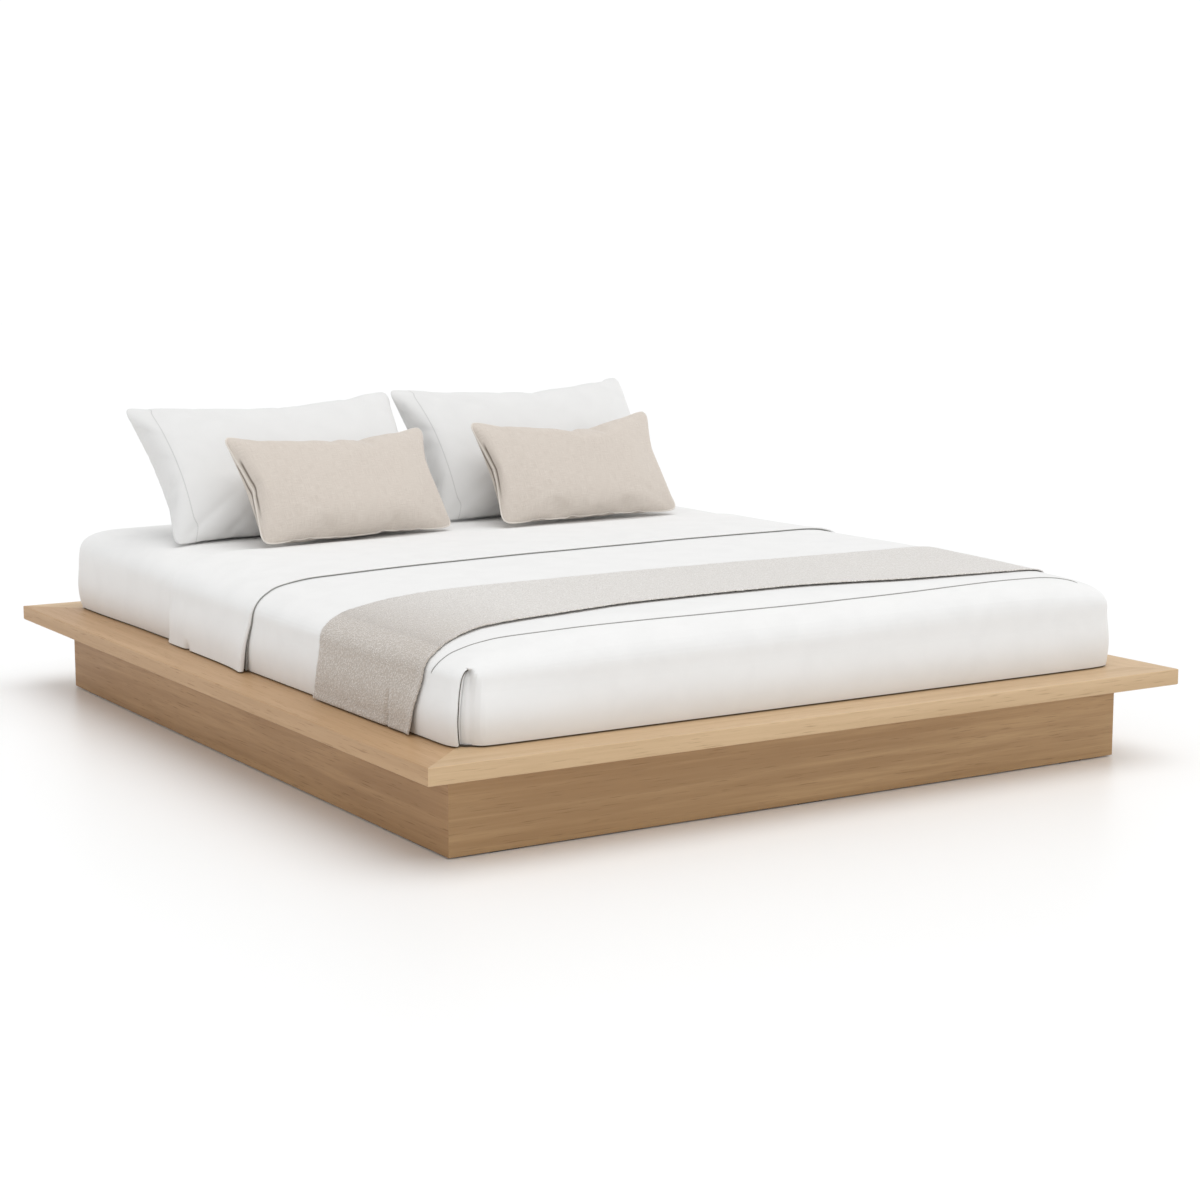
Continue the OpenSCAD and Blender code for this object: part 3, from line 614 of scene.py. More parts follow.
@dataclass(frozen=True)
class Ticking(Finish):
    """Close-woven mattress cloth with a fine herringbone of that pitch and height, and fine ribs."""

    colour: Colour
    shade: Colour
    zigzag: float = mm(24)
    zigzag_h: float = mm(6)
    rib: float = mm(3)

    def fill(self, tree: FinishTree) -> None:
        """Adds the finish's nodes."""
        flat = tree.cloth_place()
        across, along = tree.axis(flat, "X"), tree.axis(flat, "Y")
        zig = abs(across.waves(self.zigzag)) * self.zigzag_h
        rib = (along + zig).waves(self.rib).band(-0.3, 0.5)
        soft = tree.grain(flat, 12.0, 3.0, 0.5)
        body = tree.mix(rib * 0.5 + soft * 0.3, self.colour, self.shade)
        tree.set(Base_Color=body, Roughness=0.82, Specular_IOR_Level=0.25)
        tree.relief(rib * 0.3 + soft * 0.4, mm(0.8), 0.5)


class Side(Enum):
    """A side of the mattress, by the way that it faces."""

    TOP = "top"
    LEFT = "left"
    RIGHT = "right"
    FOOT = "foot"
    HEAD = "head"
    BASE = "base"


@dataclass(frozen=True)
class BedSkin:
    """The made bed's outline, which the mattress and every layer over it follow.

    A spot on a plain block of the mattress's size is carried to the rounded, slightly slumped skin.

    Attributes:
        middle_x: the block's middle.
        half_w: half its width.
        half_l: half its length.
        base_z: the height of the deck's top.
        top_z: the height of the mattress's top.
        hem_z: how low the layers hang.
        cad_bulge: how far the CAD solid's walls swell.
        side_roll: how far in from the sides the top starts to fall.
        end_roll: the same at the foot and the head.
        roll_h: how far the top falls before the walls start.
        bulge: how far the walls swell between the base and the roll.
        flare: how far a layer hangs out at its hem, for each metre of its lift.
        flare_lifts: the lifts where that starts and ends.
        corner_power: how square the corners are in plan.
        head_power: how much squarer they are at the head, where the sheet pulls round them.
        head_out: how far the layers stand out there.
        head_span: where along the bed that starts, and where it is full.
        fullness: how square the roll's section is, from the foot to the head.
        right_fullness: how much squarer it is at the right.
        right_span: where across the bed that starts, and where it is full.
        left_fall: how much further the top sinks along the left side.
        left_reach: how fast that dies out across the bed.
        left_share: how much of that fall there is, from the foot to the head.
        right_fall: how much further the top sinks along the right side.
        right_reach: how fast that dies out across the bed.
        right_share: how much of that fall there is, from the foot to the head.
        corner_fall: how much rounder the top's near foot corner is.
        corner_reach: how far that reaches.
        corner_span: the height where it starts, and where it is full.
        tuck: how far the walls draw in at the very base.
        tuck_h: how high that draw reaches.
        tuck_lifts: the lift up to which a layer draws in fully, and the one past which it doesn't.
        wave: the height of the broad, soft unevenness.
        wave_scales: how fine its larger and its smaller hills are.
    """

    middle_x: float
    half_w: float
    half_l: float
    base_z: float
    top_z: float
    hem_z: float
    cad_bulge: float = mm(8)
    side_roll: float = mm(170)
    end_roll: float = mm(120)
    roll_h: float = mm(85)
    bulge: float = mm(4)
    flare: float = 1.7
    flare_lifts: Pair = (mm(1.3), mm(7.3))
    corner_power: float = 6.0
    head_power: float = 8.0
    head_out: float = mm(6)
    head_span: Pair = (0.55, 0.9)
    fullness: Stops = ((-0.45, 2.3), (-0.1, 2.4), (0.45, 2.6), (0.95, 3.8))
    right_fullness: float = 0.9
    right_span: Pair = (0.0, 0.6)
    left_fall: float = mm(27)
    left_reach: float = mm(330)
    left_share: Stops = ((-0.4, 1.0), (-0.05, 0.72), (0.55, 0.18))
    right_fall: float = mm(24)
    right_reach: float = mm(150)
    right_share: Stops = ((-1.0, 1.2), (-0.85, 0.78), (-0.62, 0.3), (-0.45, 0.0))
    corner_fall: float = mm(20)
    corner_reach: float = mm(190)
    corner_span: Pair = (0.235, 0.345)
    tuck: float = mm(8)
    tuck_h: float = mm(13)
    tuck_lifts: Pair = (mm(1.5), mm(6.5))
    wave: float = mm(1.2)
    wave_scales: Pair = (3.1, 7.3)

    @classmethod
    def from_frame(cls) -> BedSkin:
        """Reads the mattress's size and place from its CAD solid."""
        low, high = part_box("mattress")
        deck_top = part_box("deck_board_left")[1].z
        half_w = (high.x - low.x) / 2 - cls.cad_bulge
        half_l = (high.y - low.y) / 2 - cls.cad_bulge
        hem_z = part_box("fitted_sheet")[0].z + mm(1.5)
        return cls((low.x + high.x) / 2, half_w, half_l, deck_top, high.z, hem_z)

    @property
    def wall_top(self) -> float:
        """The height where the walls end and the roll starts."""
        return self.top_z - self.roll_h

    @property
    def drop(self) -> float:
        """How far a layer hangs below the block's top."""
        return self.top_z - self.hem_z

    @property
    def reach(self) -> float:
        """Half of a band's length across the bed, from the middle to a hem."""
        return self.half_w + self.drop

    def over(self, across: float, along: float) -> Vector:
        """The block's spot at a distance across the bed, measured over its top from the middle."""
        beyond = abs(across) - self.half_w
        if beyond <= 0:
            return Vector((across, along, self.top_z))
        return Vector((math.copysign(self.half_w, across), along, self.top_z - beyond))

    def hang(self, across: float) -> float:
        """From 0 on top to 1 at the hem."""
        return clamp((abs(across) - self.half_w) / self.drop)

    def point(self, spot: Vector, lift: float = 0.0) -> Vector:
        """Carries a block's spot to the skin.

        Args:
            spot: a place on the block's top or walls.
            lift: how far above the mattress the point lies.

        Returns:
            The point in the frame.
        """
        inner_x = self.half_w - self.side_roll
        inner_y = self.half_l - self.end_roll
        core = Vector((clamp(spot.x, -inner_x, inner_x), clamp(spot.y, -inner_y, inner_y),
                       min(spot.z, self.wall_top)))
        part = Vector(((spot.x - core.x) / self.side_roll, (spot.y - core.y) / self.end_roll,
                       (spot.z - core.z) / self.roll_h))
        headward = ease(*self.head_span, spot.y)
        power = self.corner_power + self.head_power * headward
        plan = (abs(part.x) ** power + abs(part.y) ** power) ** (1 / power)
        full = through(self.fullness, spot.y) + self.right_fullness * ease(*self.right_span, spot.x)
        out = part / max((plan ** full + max(part.z, 0.0) ** full) ** (1 / full), WELD)
        made = core + Vector((out.x * (self.side_roll + lift), out.y * (self.end_roll + lift),
                              out.z * (self.roll_h + lift)))
        away = out.normalized()
        if part.z <= 0:
            made += away * self._drape(spot, lift)
        made.z -= self._slump(made)
        made -= away * self._rounding(made)
        made += away * self.head_out * headward * abs(out.x) * (1 - clamp(part.z)) * (spot.y < self.half_l)
        made += away * self._unevenness(spot)
        made.x += self.middle_x
        return made

    def _drape(self, spot: Vector, lift: float) -> float:
        """Gives a layer's hang over a wall.

        Args:
            spot: a place on one of the block's walls.
            lift: how far above the mattress the layer lies.

        Returns:
            How far it stands out from a straight wall.
        """
        climb = clamp((spot.z - self.base_z) / (self.wall_top - self.base_z))
        swell = self.bulge * math.sin(math.pi * climb) ** 2
        fan = self.flare * (clamp(lift, *self.flare_lifts) - self.flare_lifts[0]) * (1 - climb) ** 1.5
        first, last = self.tuck_lifts
        tucked = self.tuck * clamp((last - lift) / (last - first))
        return swell + fan - tucked * math.exp((self.base_z - spot.z) / self.tuck_h)

    def _rounding(self, made: Vector) -> float:
        """How much further in the top's near foot corner lies."""
        away = math.hypot(made.x + self.half_w, made.y + self.half_l)
        return self.corner_fall * hill(away, 0.0, self.corner_reach) * ease(*self.corner_span, made.z)

    def _slump(self, made: Vector) -> float:
        """How much further the top sinks towards its sides."""
        height = clamp((made.z - self.wall_top) / self.roll_h)
        left = self.left_fall * math.exp(-(self.half_w + made.x) / self.left_reach)
        right = self.right_fall * math.exp(-(self.half_w - made.x) / self.right_reach)
        left *= through(self.left_share, made.y)
        right *= through(self.right_share, made.y)
        return height * (left + right)

    def _unevenness(self, spot: Vector) -> float:
        """Broad, soft hills and hollows that all layers share."""
        large, small = self.wave_scales
        return self.wave * (noise.noise(spot * large) + 0.5 * noise.noise(spot * small))


def shell(skin: BedSkin, sides: Iterable[Side], cell: float, end_y: float, low: float) -> BMesh:
    """Builds the block's sides as one welded grid, with its flat coordinates in metres.

    Args:
        skin: the block.
        sides: the sides wanted.
        cell: the size of a face.
        end_y: how far the grid reaches to the head.
        low: the height of its lower edge.

    Returns:
        The grid, still on the block.
    """
    start_y = -skin.half_l
    length, width, height = end_y - start_y, 2 * skin.half_w, skin.top_z - low
    mid_y, mid_z = (start_y + end_y) / 2, (low + skin.top_z) / 2
    quarter = math.pi / 2
    layout = {
        Side.TOP: ((0, mid_y, skin.top_z), Matrix(), width, length),
        Side.BASE: ((0, mid_y, low), Matrix.Rotation(2 * quarter, 4, "X"), width, length),
        Side.LEFT: ((-skin.half_w, mid_y, mid_z), Matrix.Rotation(-quarter, 4, "Y"), height, length),
        Side.RIGHT: ((skin.half_w, mid_y, mid_z), Matrix.Rotation(quarter, 4, "Y"), height, length),
        Side.FOOT: ((0, start_y, mid_z), Matrix.Rotation(quarter, 4, "X"), width, height),
        Side.HEAD: ((0, end_y, mid_z), Matrix.Rotation(-quarter, 4, "X"), width, height),
    }
    bm = bmesh.new()
    flat = bm.loops.layers.uv.new("cloth")
    for side in sides:
        middle, turn, across, along = layout[side]
        place = Matrix.Translation(middle) @ turn @ Matrix.Diagonal((across, along, 1, 1))
        columns, rows = math.ceil(across / cell), math.ceil(along / cell)
        made = bmesh.ops.create_grid(bm, x_segments=columns, y_segments=rows, size=0.5, matrix=place)
        for face in {face for vert in made["verts"] for face in vert.link_faces}:
            for loop in face.loops:
                loop[flat].uv = unrolled(side, loop.vert.co, skin.top_z)
    bmesh.ops.remove_doubles(bm, verts=bm.verts, dist=WELD)
    return bm


def unrolled(side: Side, spot: Vector, top_z: float) -> Pair:
    """Unrolls the block, with its walls folded out beside its top.

    Args:
        side: the side that the spot is on.
        spot: a place on the block.
        top_z: the height of the block's top.

    Returns:
        The spot's flat coordinates.
    """
    fallen = top_z - spot.z
    ways = {Side.LEFT: (-1, 0), Side.RIGHT: (1, 0), Side.FOOT: (0, -1), Side.HEAD: (0, 1)}
    way = ways.get(side, (0, 0))
    return (spot.x + way[0] * fallen, spot.y + way[1] * fallen)


def cut(bm: BMesh, place: Triple, facing: Triple) -> None:
    """Cuts a grid along a plane, so that a row of its vertices lies there."""
    geom = [*bm.verts, *bm.edges, *bm.faces]
    bmesh.ops.bisect_plane(bm, geom=geom, dist=WELD, plane_co=place, plane_no=facing)


def strip(across: float, along: float, cell: float) -> BMesh:
    """Builds a flat grid round the origin.

    Args:
        across: its size along X.
        along: its size along Y.
        cell: the size of a face.

    Returns:
        The grid, with its flat coordinates in metres.
    """
    bm = bmesh.new()
    flat = bm.loops.layers.uv.new("cloth")
    bmesh.ops.create_grid(bm, x_segments=math.ceil(across / cell), y_segments=math.ceil(along / cell),
                          size=0.5, matrix=Matrix.Diagonal((across, along, 1, 1)))
    for face in bm.faces:
        for loop in face.loops:
            loop[flat].uv = (loop.vert.co.x, loop.vert.co.y)
    return bm


def tube(name: str, route: Sequence[Vector], radius: float, closed: bool = False) -> Mesh:
    """A round cord's mesh along a route.

    Args:
        name: the mesh's name.
        route: the points of its middle line.
        radius: its radius.
        closed: whether the route ends where it starts.

    Returns:
        The mesh, with capped ends.
    """
    curve = bpy.data.curves.new(name, "CURVE")
    curve.dimensions = "3D"
    curve.bevel_depth = radius
    curve.bevel_resolution = 2
    curve.use_fill_caps = True
    spline = curve.splines.new("POLY")
    spline.points.add(len(route) - 1)
    for point, spot in zip(spline.points, route):
        point.co = (*spot, 1.0)
    spline.use_cyclic_u = closed
    holder = bpy.data.objects.new(name, curve)
    mesh = bpy.data.meshes.new_from_object(holder)
    bpy.data.objects.remove(holder)
    bpy.data.curves.remove(curve)
    mesh.shade_smooth()
    return mesh


def publish(name: str, source: BMesh | Mesh, material: Material,
            stands_for: str | None = None, sharp: float | None = None) -> Object:
    """Makes a finished piece of a mesh and sets it on the bedding's body.

    Args:
        name: the piece's name.
        source: its mesh.
        material: its finish.
        stands_for: the CAD node that it replaces.
        sharp: the angle in degrees past which an edge stays sharp.

    Returns:
        The piece.
    """
    if isinstance(source, BMesh):
        mesh = bpy.data.meshes.new(name)
        source.to_mesh(mesh)
        source.free()
        mesh.shade_smooth()
    else:
        mesh = source
    if sharp is not None:
        mesh.set_sharp_from_angle(angle=math.radians(sharp))
    piece = bpy.data.objects.new(name, mesh)
    bpy.context.scene.collection.objects.link(piece)
    mesh.materials.clear()
    mesh.materials.append(material)
    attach(piece, BEDDING)
    if stands_for:
        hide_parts(stands_for)
    LOG.info("%s: %d faces", name, len(mesh.polygons))
    return piece


def thicken(piece: Object, thickness: float, offset: float = 0.0) -> None:
    """Gives a sheet its thickness with live modifiers.

    Args:
        piece: the sheet.
        thickness: how thick it is.
        offset: which side of the mesh it lies on: 0 is both alike.
    """
    wall = piece.modifiers.new("thickness", "SOLIDIFY")
    wall.thickness = thickness
    wall.offset = offset
    wall.use_even_offset = False
    piece.modifiers.new("flat_normals", "WEIGHTED_NORMAL")


@dataclass
class Woodwork:
    """The deck, the plinth and the slatted base inside it, all of them CAD nodes.

    Attributes:
        deck: the deck boards' finish.
        plinth: the plinth boards' finish.
        left_painted_shade: the tones of the deck's and of the plinth's left boards, darker as painted shade.
        pine: the finish of the hidden frame.
        beech: the finish of the slats and the tenons.
    """

    deck: OakVeneer = OakVeneer((0.650, 0.465, 0.278), (0.490, 0.328, 0.178), (0.34, 0.212, 0.110))
    plinth: OakVeneer = OakVeneer((0.590, 0.395, 0.205), (0.385, 0.233, 0.110), (0.22, 0.122, 0.056),
                                  streaks=0.75, roughness=0.43)
    left_painted_shade: tuple[Colour, Colour] = ((0.80, 0.705, 0.615), (0.84, 0.765, 0.685))
    pine: PlainTimber = PlainTimber((0.74, 0.56, 0.36), (0.60, 0.41, 0.23))
    beech: PlainTimber = PlainTimber((0.70, 0.50, 0.34), (0.58, 0.39, 0.25), rings=14.0)

    def dress(self, nodes: dict[str, Object]) -> None:
        """Gives each wooden node its board's finish, with the grain along the board."""
        across, along, upright = Grain.ALONG_X, Grain.ALONG_Y, Grain.UPRIGHT
        parts = (
            ("deck_board", self.deck, 1.7, self.left_painted_shade[0]),
            ("plinth", self.plinth, 2.3, self.left_painted_shade[1]),
        )
        for turn, side in enumerate(("left", "right", "foot", "head")):
            grain = along if side in ("left", "right") else across
            for part, base, step, tone in parts:
                look = replace(base, grain=grain, shift=step * (turn + 1))
                # painted shade: the left boards are darkened because that side of the bed gets less light
                if side == "left":
                    look = look.toned(tone)
                paint(nodes[f"{part}_{side}"], look.make(f"{part}_{side}_oak"))
            rail = replace(self.pine, grain=grain, shift=turn + 0.3)
            paint(nodes[f"bearer_{side}"], rail.make(f"bearer_{side}_pine"))
        strips = replace(self.pine, grain=along, shift=5.1).make("strip_pine")
        posts = replace(self.pine, grain=upright, shift=6.2).make("post_pine")
        slats = replace(self.beech, grain=across, shift=7.7).make("slat_beech")
        for name, node in nodes.items():
            if name.startswith("slat_strip") or name == "centre_rail":
                paint(node, strips)
            elif name.startswith(("corner_post", "centre_leg")):
                paint(node, posts)
            elif name.startswith(("slat_0", "slat_1")) or name == "mitre_tenons":
                paint(node, slats)


@dataclass
class Hardware:
    """Screws, bolts, hangers, inserts, levelling feet and floor pads."""

    zinc: PlatedMetal = PlatedMetal((0.60, 0.61, 0.63), 0.36)
    black: PlatedMetal = PlatedMetal((0.03, 0.03, 0.032), 0.42, 60.0, 0.6)
    brass: PlatedMetal = PlatedMetal((0.72, 0.53, 0.22), 0.28, 200.0)
    plastic: MouldedPlastic = MouldedPlastic((0.028, 0.028, 0.03))
    felt: PressedFelt = PressedFelt((0.055, 0.048, 0.042))

    def dress(self, nodes: dict[str, Object]) -> None:
        """Gives each fixing its finish."""
        zinc = self.zinc.make("zinc_plate")
        looks = {
            "corner_bolts": self.black.make("black_oxide"),
            "threaded_inserts": self.brass.make("turned_brass"),
            "floor_pads": self.felt.make("pressed_felt"),
        }
        plastic = self.plastic.make("black_moulding")
        for name, node in nodes.items():
            if name in looks:
                paint(node, looks[name])
            elif name.startswith("level_foot"):
                paint(node, plastic)
            elif name.endswith("_screws") or name in ("rail_hangers", "leg_studs"):
                paint(node, zinc)


def paint(node: Object, material: Material) -> None:
    """Gives a CAD node one material."""
    node.data.materials.clear()
    node.data.materials.append(material)
    LOG.info("%s: %s", node.name, material.name)


@dataclass
class Mattress:
    """The mattress itself, which shows when it is lifted off.

    Attributes:
        quilt: the pitch of the quilting's crossing lines.
        quilt_depth: how deep they are sewn in.
        quilt_line: how wide they are: near 0 is a thin line, and 1 is the whole pitch.
        rim: where the base's rounded rim starts, as a share of its half size.
        base_round: how far in that rim goes.
        piping_r: the piping's radius.
        piping_shade: the finish of its piping, near black as painted shade of the gap between the hem and the
            deck.
    """

    skin: BedSkin
    cell: float = mm(16)
    quilt: float = mm(150)
    quilt_depth: float = mm(3)
    quilt_line: float = 0.22
    rim: float = 0.93
    base_round: float = mm(8)
    piping_r: float = mm(2)
    cloth: Ticking = Ticking((0.80, 0.79, 0.77), (0.66, 0.65, 0.63))
    # painted shade: the piping's near-black finish stands for the shadowed gap at the hem
    piping_shade: Percale = Percale((0.085, 0.070, 0.055), (0.065, 0.055, 0.045), 0.1)

    def build(self) -> None:
        """Builds the padded body and the piping round its base."""
        skin = self.skin
        bm = shell(skin, Side, self.cell, skin.half_l, skin.base_z)
        for vert in bm.verts:
            vert.co = self._place(vert.co)
        body = publish("mattress_body", bm, self.cloth.make("mattress_cloth"),
                       "mattress")
        self._build_piping()

    def _place(self, spot: Vector) -> Vector:
        """Carries a block's spot to the skin; the base keeps flat, with quilted channels."""
        skin = self.skin
        if spot.z > skin.base_z + WELD:
            made = skin.point(spot)
            return dented(skin, spot, made, extra=mm(1.5))
        wall = skin.point(Vector((spot.x, spot.y, skin.base_z + mm(1))))
        side = Vector((wall.x - skin.middle_x, wall.y, 0))
        share = max(abs(spot.x) / skin.half_w, abs(spot.y) / skin.half_l)
        flat = Vector((spot.x, spot.y, 0)).lerp(side, ease(self.rim, 1.0, share))
        flat *= 1 - self.base_round / skin.half_w * ease(0.9, 1.0, share)
        channel = self._channel(spot) * (1 - ease(self.rim, 0.98, share))
        return Vector((flat.x + skin.middle_x, flat.y, skin.base_z + channel * self.quilt_depth))

    def _channel(self, spot: Vector) -> float:
        """1 along the quilting's crossing lines and 0 between them."""
        first = abs(math.sin(math.pi * (spot.x + spot.y) / self.quilt))
        second = abs(math.sin(math.pi * (spot.x - spot.y) / self.quilt))
        return 1 - ease(0.0, self.quilt_line, min(first, second))

    def _build_piping(self) -> None:
        """Sews a near-black cord round the lower edge, painted shade that shows as a dark line over the deck.
        """
        skin = self.skin
        bm = shell(skin, (Side.BASE,), mm(30), skin.half_l, skin.base_z)
        spots = ring_of(bm)
        bm.free()
        route = []
        for spot in spots:
            out = skin.point(Vector((spot.x, spot.y, skin.base_z + mm(1))))
            inward = Vector((skin.middle_x - out.x, -out.y, 0)).normalized()
            route.append(Vector((out.x, out.y, skin.base_z + self.piping_r + mm(0.3))) + inward * mm(1.5))
        mesh = tube("mattress_piping", route, self.piping_r, closed=True)
        # painted shade: the cord is near black so that it reads as the dark gap over the deck
        publish("mattress_piping", mesh, self.piping_shade.make("mattress_piping_shade"))


def ring_of(bm: BMesh) -> list[Vector]:
    """Walks round a flat grid's rim.

    Args:
        bm: the grid.

    Returns:
        The rim's places, in order round it.
    """
    rim = {vert for edge in bm.edges if edge.is_boundary for vert in edge.verts}
    start = min(rim, key=lambda vert: (vert.co.x, vert.co.y))
    order, seen, here = [], set(), start
    while here is not None:
        order.append(here.co.copy())
        seen.add(here)
        near = (edge.other_vert(here) for edge in here.link_edges if edge.is_boundary)
        here = next((vert for vert in near if vert not in seen), None)
    return order


@dataclass(frozen=True)
class FoldedCorner:
    """The fold of the cover at a foot corner: a ply from the side that ends over a drawn-in facet.

    Places round the corner are below 0 on the side and above 0 on the foot.

    Attributes:
        edge: the ply's edge before it leans.
        step: the distance between the rows that carry the fold.
        lean: how far the edge leans to the foot, by its height.
        lean_reach: how far past the edge the cloth still leans with it.
        back: how far the cloth turns back under the ply.
        tucked: how far the facet starts under the ply.
        under: how much deeper the turned-back cloth lies than the facet.
        arch_from: the height where the facet starts to narrow to its arched top.
        top: the height where the fold dies out.
        fade_h: over what height it dies out.
        depth: how deep the facet starts.
        width: how wide the facet is.
        even: the share of its depth that it loses evenly over that width.
        steep_from: where over its width it starts to lose the rest.
        proud: how far the ply stands out at its edge.
        ply: how far the ply takes to lie flat again on the side.
        room: how far the layers below draw in before the edge and past the facet.
        room_over: how far below and above the top that dies out.
        gap: how much deeper than the facet they draw in.
    """

    edge: float = mm(-12)
    step: float = mm(0.8)
    lean: Stops = (
        (0.270, 0.0), (0.300, mm(-2)), (0.330, mm(1)), (0.352, mm(4)), (0.362, mm(7.5)), (0.368, mm(14)),
    )
    lean_reach: float = mm(110)
    back: float = mm(12)
    tucked: float = mm(2)
    under: float = mm(1)
    arch_from: float = 0.24
    top: float = 0.368
    fade_h: float = mm(16)
    depth: float = mm(19)
    width: float = mm(68)
    even: float = 0.3
    steep_from: float = 0.45
    proud: float = mm(2.5)
    ply: float = mm(110)
    room: Pair = (mm(34), mm(25))
    room_over: Pair = (mm(16), mm(20))
    gap: float = mm(2)

    def around(self, skin: BedSkin, spot: Vector) -> float:
        """How far round the corner a wall's spot lies."""
        return (skin.half_w - abs(spot.x)) - (spot.y + skin.half_l)

    def back_on(self, skin: BedSkin, around: float, spot: Vector) -> Vector:
        """The block's spot at a place round the corner, on the same side of the bed and as high."""
        if around <= 0:
            return Vector((math.copysign(skin.half_w, spot.x), -skin.half_l - around, spot.z))
        return Vector((math.copysign(skin.half_w - around, spot.x), -skin.half_l, spot.z))

    def fade(self, height: float) -> float:
        """1 low down and 0 where the fold has died out."""
        return 1 - ease(self.top - self.fade_h, self.top, height)

    def facet(self, past: float, height: float) -> float:
        """Shapes the facet as a pocket under an arch.

        Args:
            past: the distance past the ply's edge.
            height: the height in the frame.

        Returns:
            How deep the facet lies there.
        """
        arch = math.sqrt(1 - clamp((height - self.arch_from) / (self.top - self.arch_from)) ** 2)
        share = past / max(self.width * arch, mm(1))
        lost = self.even * clamp(share) + (1 - self.even) * ease(self.steep_from, 1.0, share)
        return self.depth * (1 - lost) * self.fade(height)

    def place(self, skin: BedSkin, spot: Vector) -> tuple[Vector, float]:
        """Moves a wall's spot round the corner for the fold.

        Args:
            skin: the block.
            spot: a spot on one of its walls.

        Returns:
            The spot's new place on the block, and how far out of the skin it lies.
        """
        around = self.around(skin, spot)
        lean = through(self.lean, spot.z)
        fade = self.fade(spot.z)
        past = around - self.edge
        if past < self.step / 2:
            along = around + lean * ease(-self.ply, 0.0, past)
            return self.back_on(skin, along, spot), self.proud * clamp(1 + past / self.ply) ** 2 * fade
        if past < 1.5 * self.step:
            under = self.back_on(skin, self.edge + lean - self.back * fade, spot)
            return under, -(self.depth + self.under) * fade
        shown = past - 2 * self.step
        along = around + (lean - self.tucked * fade) * (1 - ease(0.0, self.lean_reach, shown))
        return self.back_on(skin, along, spot), -self.facet(shown, spot.z)

    def hollow(self, skin: BedSkin, spot: Vector) -> float:
        """How far in the layers below keep, so that the cover clears them."""
        past = self.around(skin, spot) - self.edge
        before, beyond = self.room
        share = clamp(1 - past / (self.width + beyond)) if past > 0 else clamp(1 + past / before)
        below, above = self.room_over
        low = 1 - ease(self.top - below, self.top + above, spot.z)
        return (self.depth + self.gap) * ease(0, 0.8, share) * low


LEFT_CORNER = FoldedCorner()
RIGHT_CORNER = FoldedCorner(edge=mm(-78), lean=((0.250, 0.0), (0.320, mm(6)), (0.356, mm(24))), top=0.356,
                            fade_h=mm(26), depth=mm(7))


def corner_near(spot: Vector) -> FoldedCorner:
    """The folded corner on a spot's side of the bed."""
    return LEFT_CORNER if spot.x < 0 else RIGHT_CORNER


def outward(skin: BedSkin, spot: Vector) -> Vector:
    """Gives the level direction out of the bed.

    Args:
        skin: the block.
        spot: a place on one of its walls.

    Returns:
        The direction, which swings round the corners.
    """
    inner_x = skin.half_w - skin.side_roll
    inner_y = skin.half_l - skin.end_roll
    gap = Vector((
        (spot.x - clamp(spot.x, -inner_x, inner_x)) / skin.side_roll,
        (spot.y - clamp(spot.y, -inner_y, inner_y)) / skin.end_roll,
        0,
    ))
    tightness = 5
    return Vector([math.copysign(abs(part) ** tightness, part) for part in gap]).normalized()


def on_wall(skin: BedSkin, spot: Vector) -> bool:
    """Whether a spot lies on one of the block's walls."""
    return abs(spot.x) > skin.half_w - WELD or abs(spot.y) > skin.half_l - WELD


def dented(skin: BedSkin, spot: Vector, made: Vector, extra: float = 0.0) -> Vector:
    """Draws a lower layer in behind the cover's folded corners.

    Args:
        skin: the block.
        spot: the place on the block.
        made: the point that it was carried to.
        extra: how much further in this layer keeps where the draw is deepest.

    Returns:
        The point, drawn in.
    """
    if not on_wall(skin, spot) or spot.y > 0:
        return made
    corner = corner_near(spot)
    depth = corner.hollow(skin, spot)
    if depth <= 0:
        return made
    return made - outward(skin, spot) * (depth + extra * depth / corner.depth)


@dataclass
class FittedSheet:
    """The elasticated sheet over the mattress, with gathers at the head's corners.

    Attributes:
        gather: how high its gathers are.
        gather_pitch: how far apart they are.
        gather_reach: how far from a corner they go.
    """

    skin: BedSkin
    cell: float = mm(14)
    lift: float = mm(1.25)
    thickness: float = mm(1.0)
    gather: float = mm(1.0)
    gather_pitch: float = mm(34)
    gather_reach: float = 0.16
    cloth: Percale = Percale(*WHITE)

    def build(self) -> Object:
        """Builds the stretched sheet."""
        skin = self.skin
        sides = (Side.TOP, Side.LEFT, Side.RIGHT, Side.FOOT, Side.HEAD)
        bm = shell(skin, sides, self.cell, skin.half_l, skin.hem_z)
        for vert in bm.verts:
            spot = vert.co.copy()
            made = skin.point(spot, self.lift)
            made = dented(skin, spot, made)
            if on_wall(skin, spot):
                made += outward(skin, spot) * self._gathers(spot)
            vert.co = made
        piece = publish("fitted_sheet_cloth", bm, self.cloth.make("sheet_cotton_cloth"),
                        "fitted_sheet")
        thicken(piece, self.thickness)
        return piece

    def _gathers(self, spot: Vector) -> float:
        """Small upright puckers low on the head's corners, where the elastic pulls."""
        side_gap = self.skin.half_w - abs(spot.x)
        end_gap = self.skin.half_l - spot.y
        near = 1 - ease(0.0, self.gather_reach, side_gap + end_gap)
        low = 1 - ease(self.skin.hem_z, self.skin.wall_top, spot.z)
        around = side_gap - end_gap
        return self.gather * near * low * math.sin(2 * math.pi * around / self.gather_pitch)


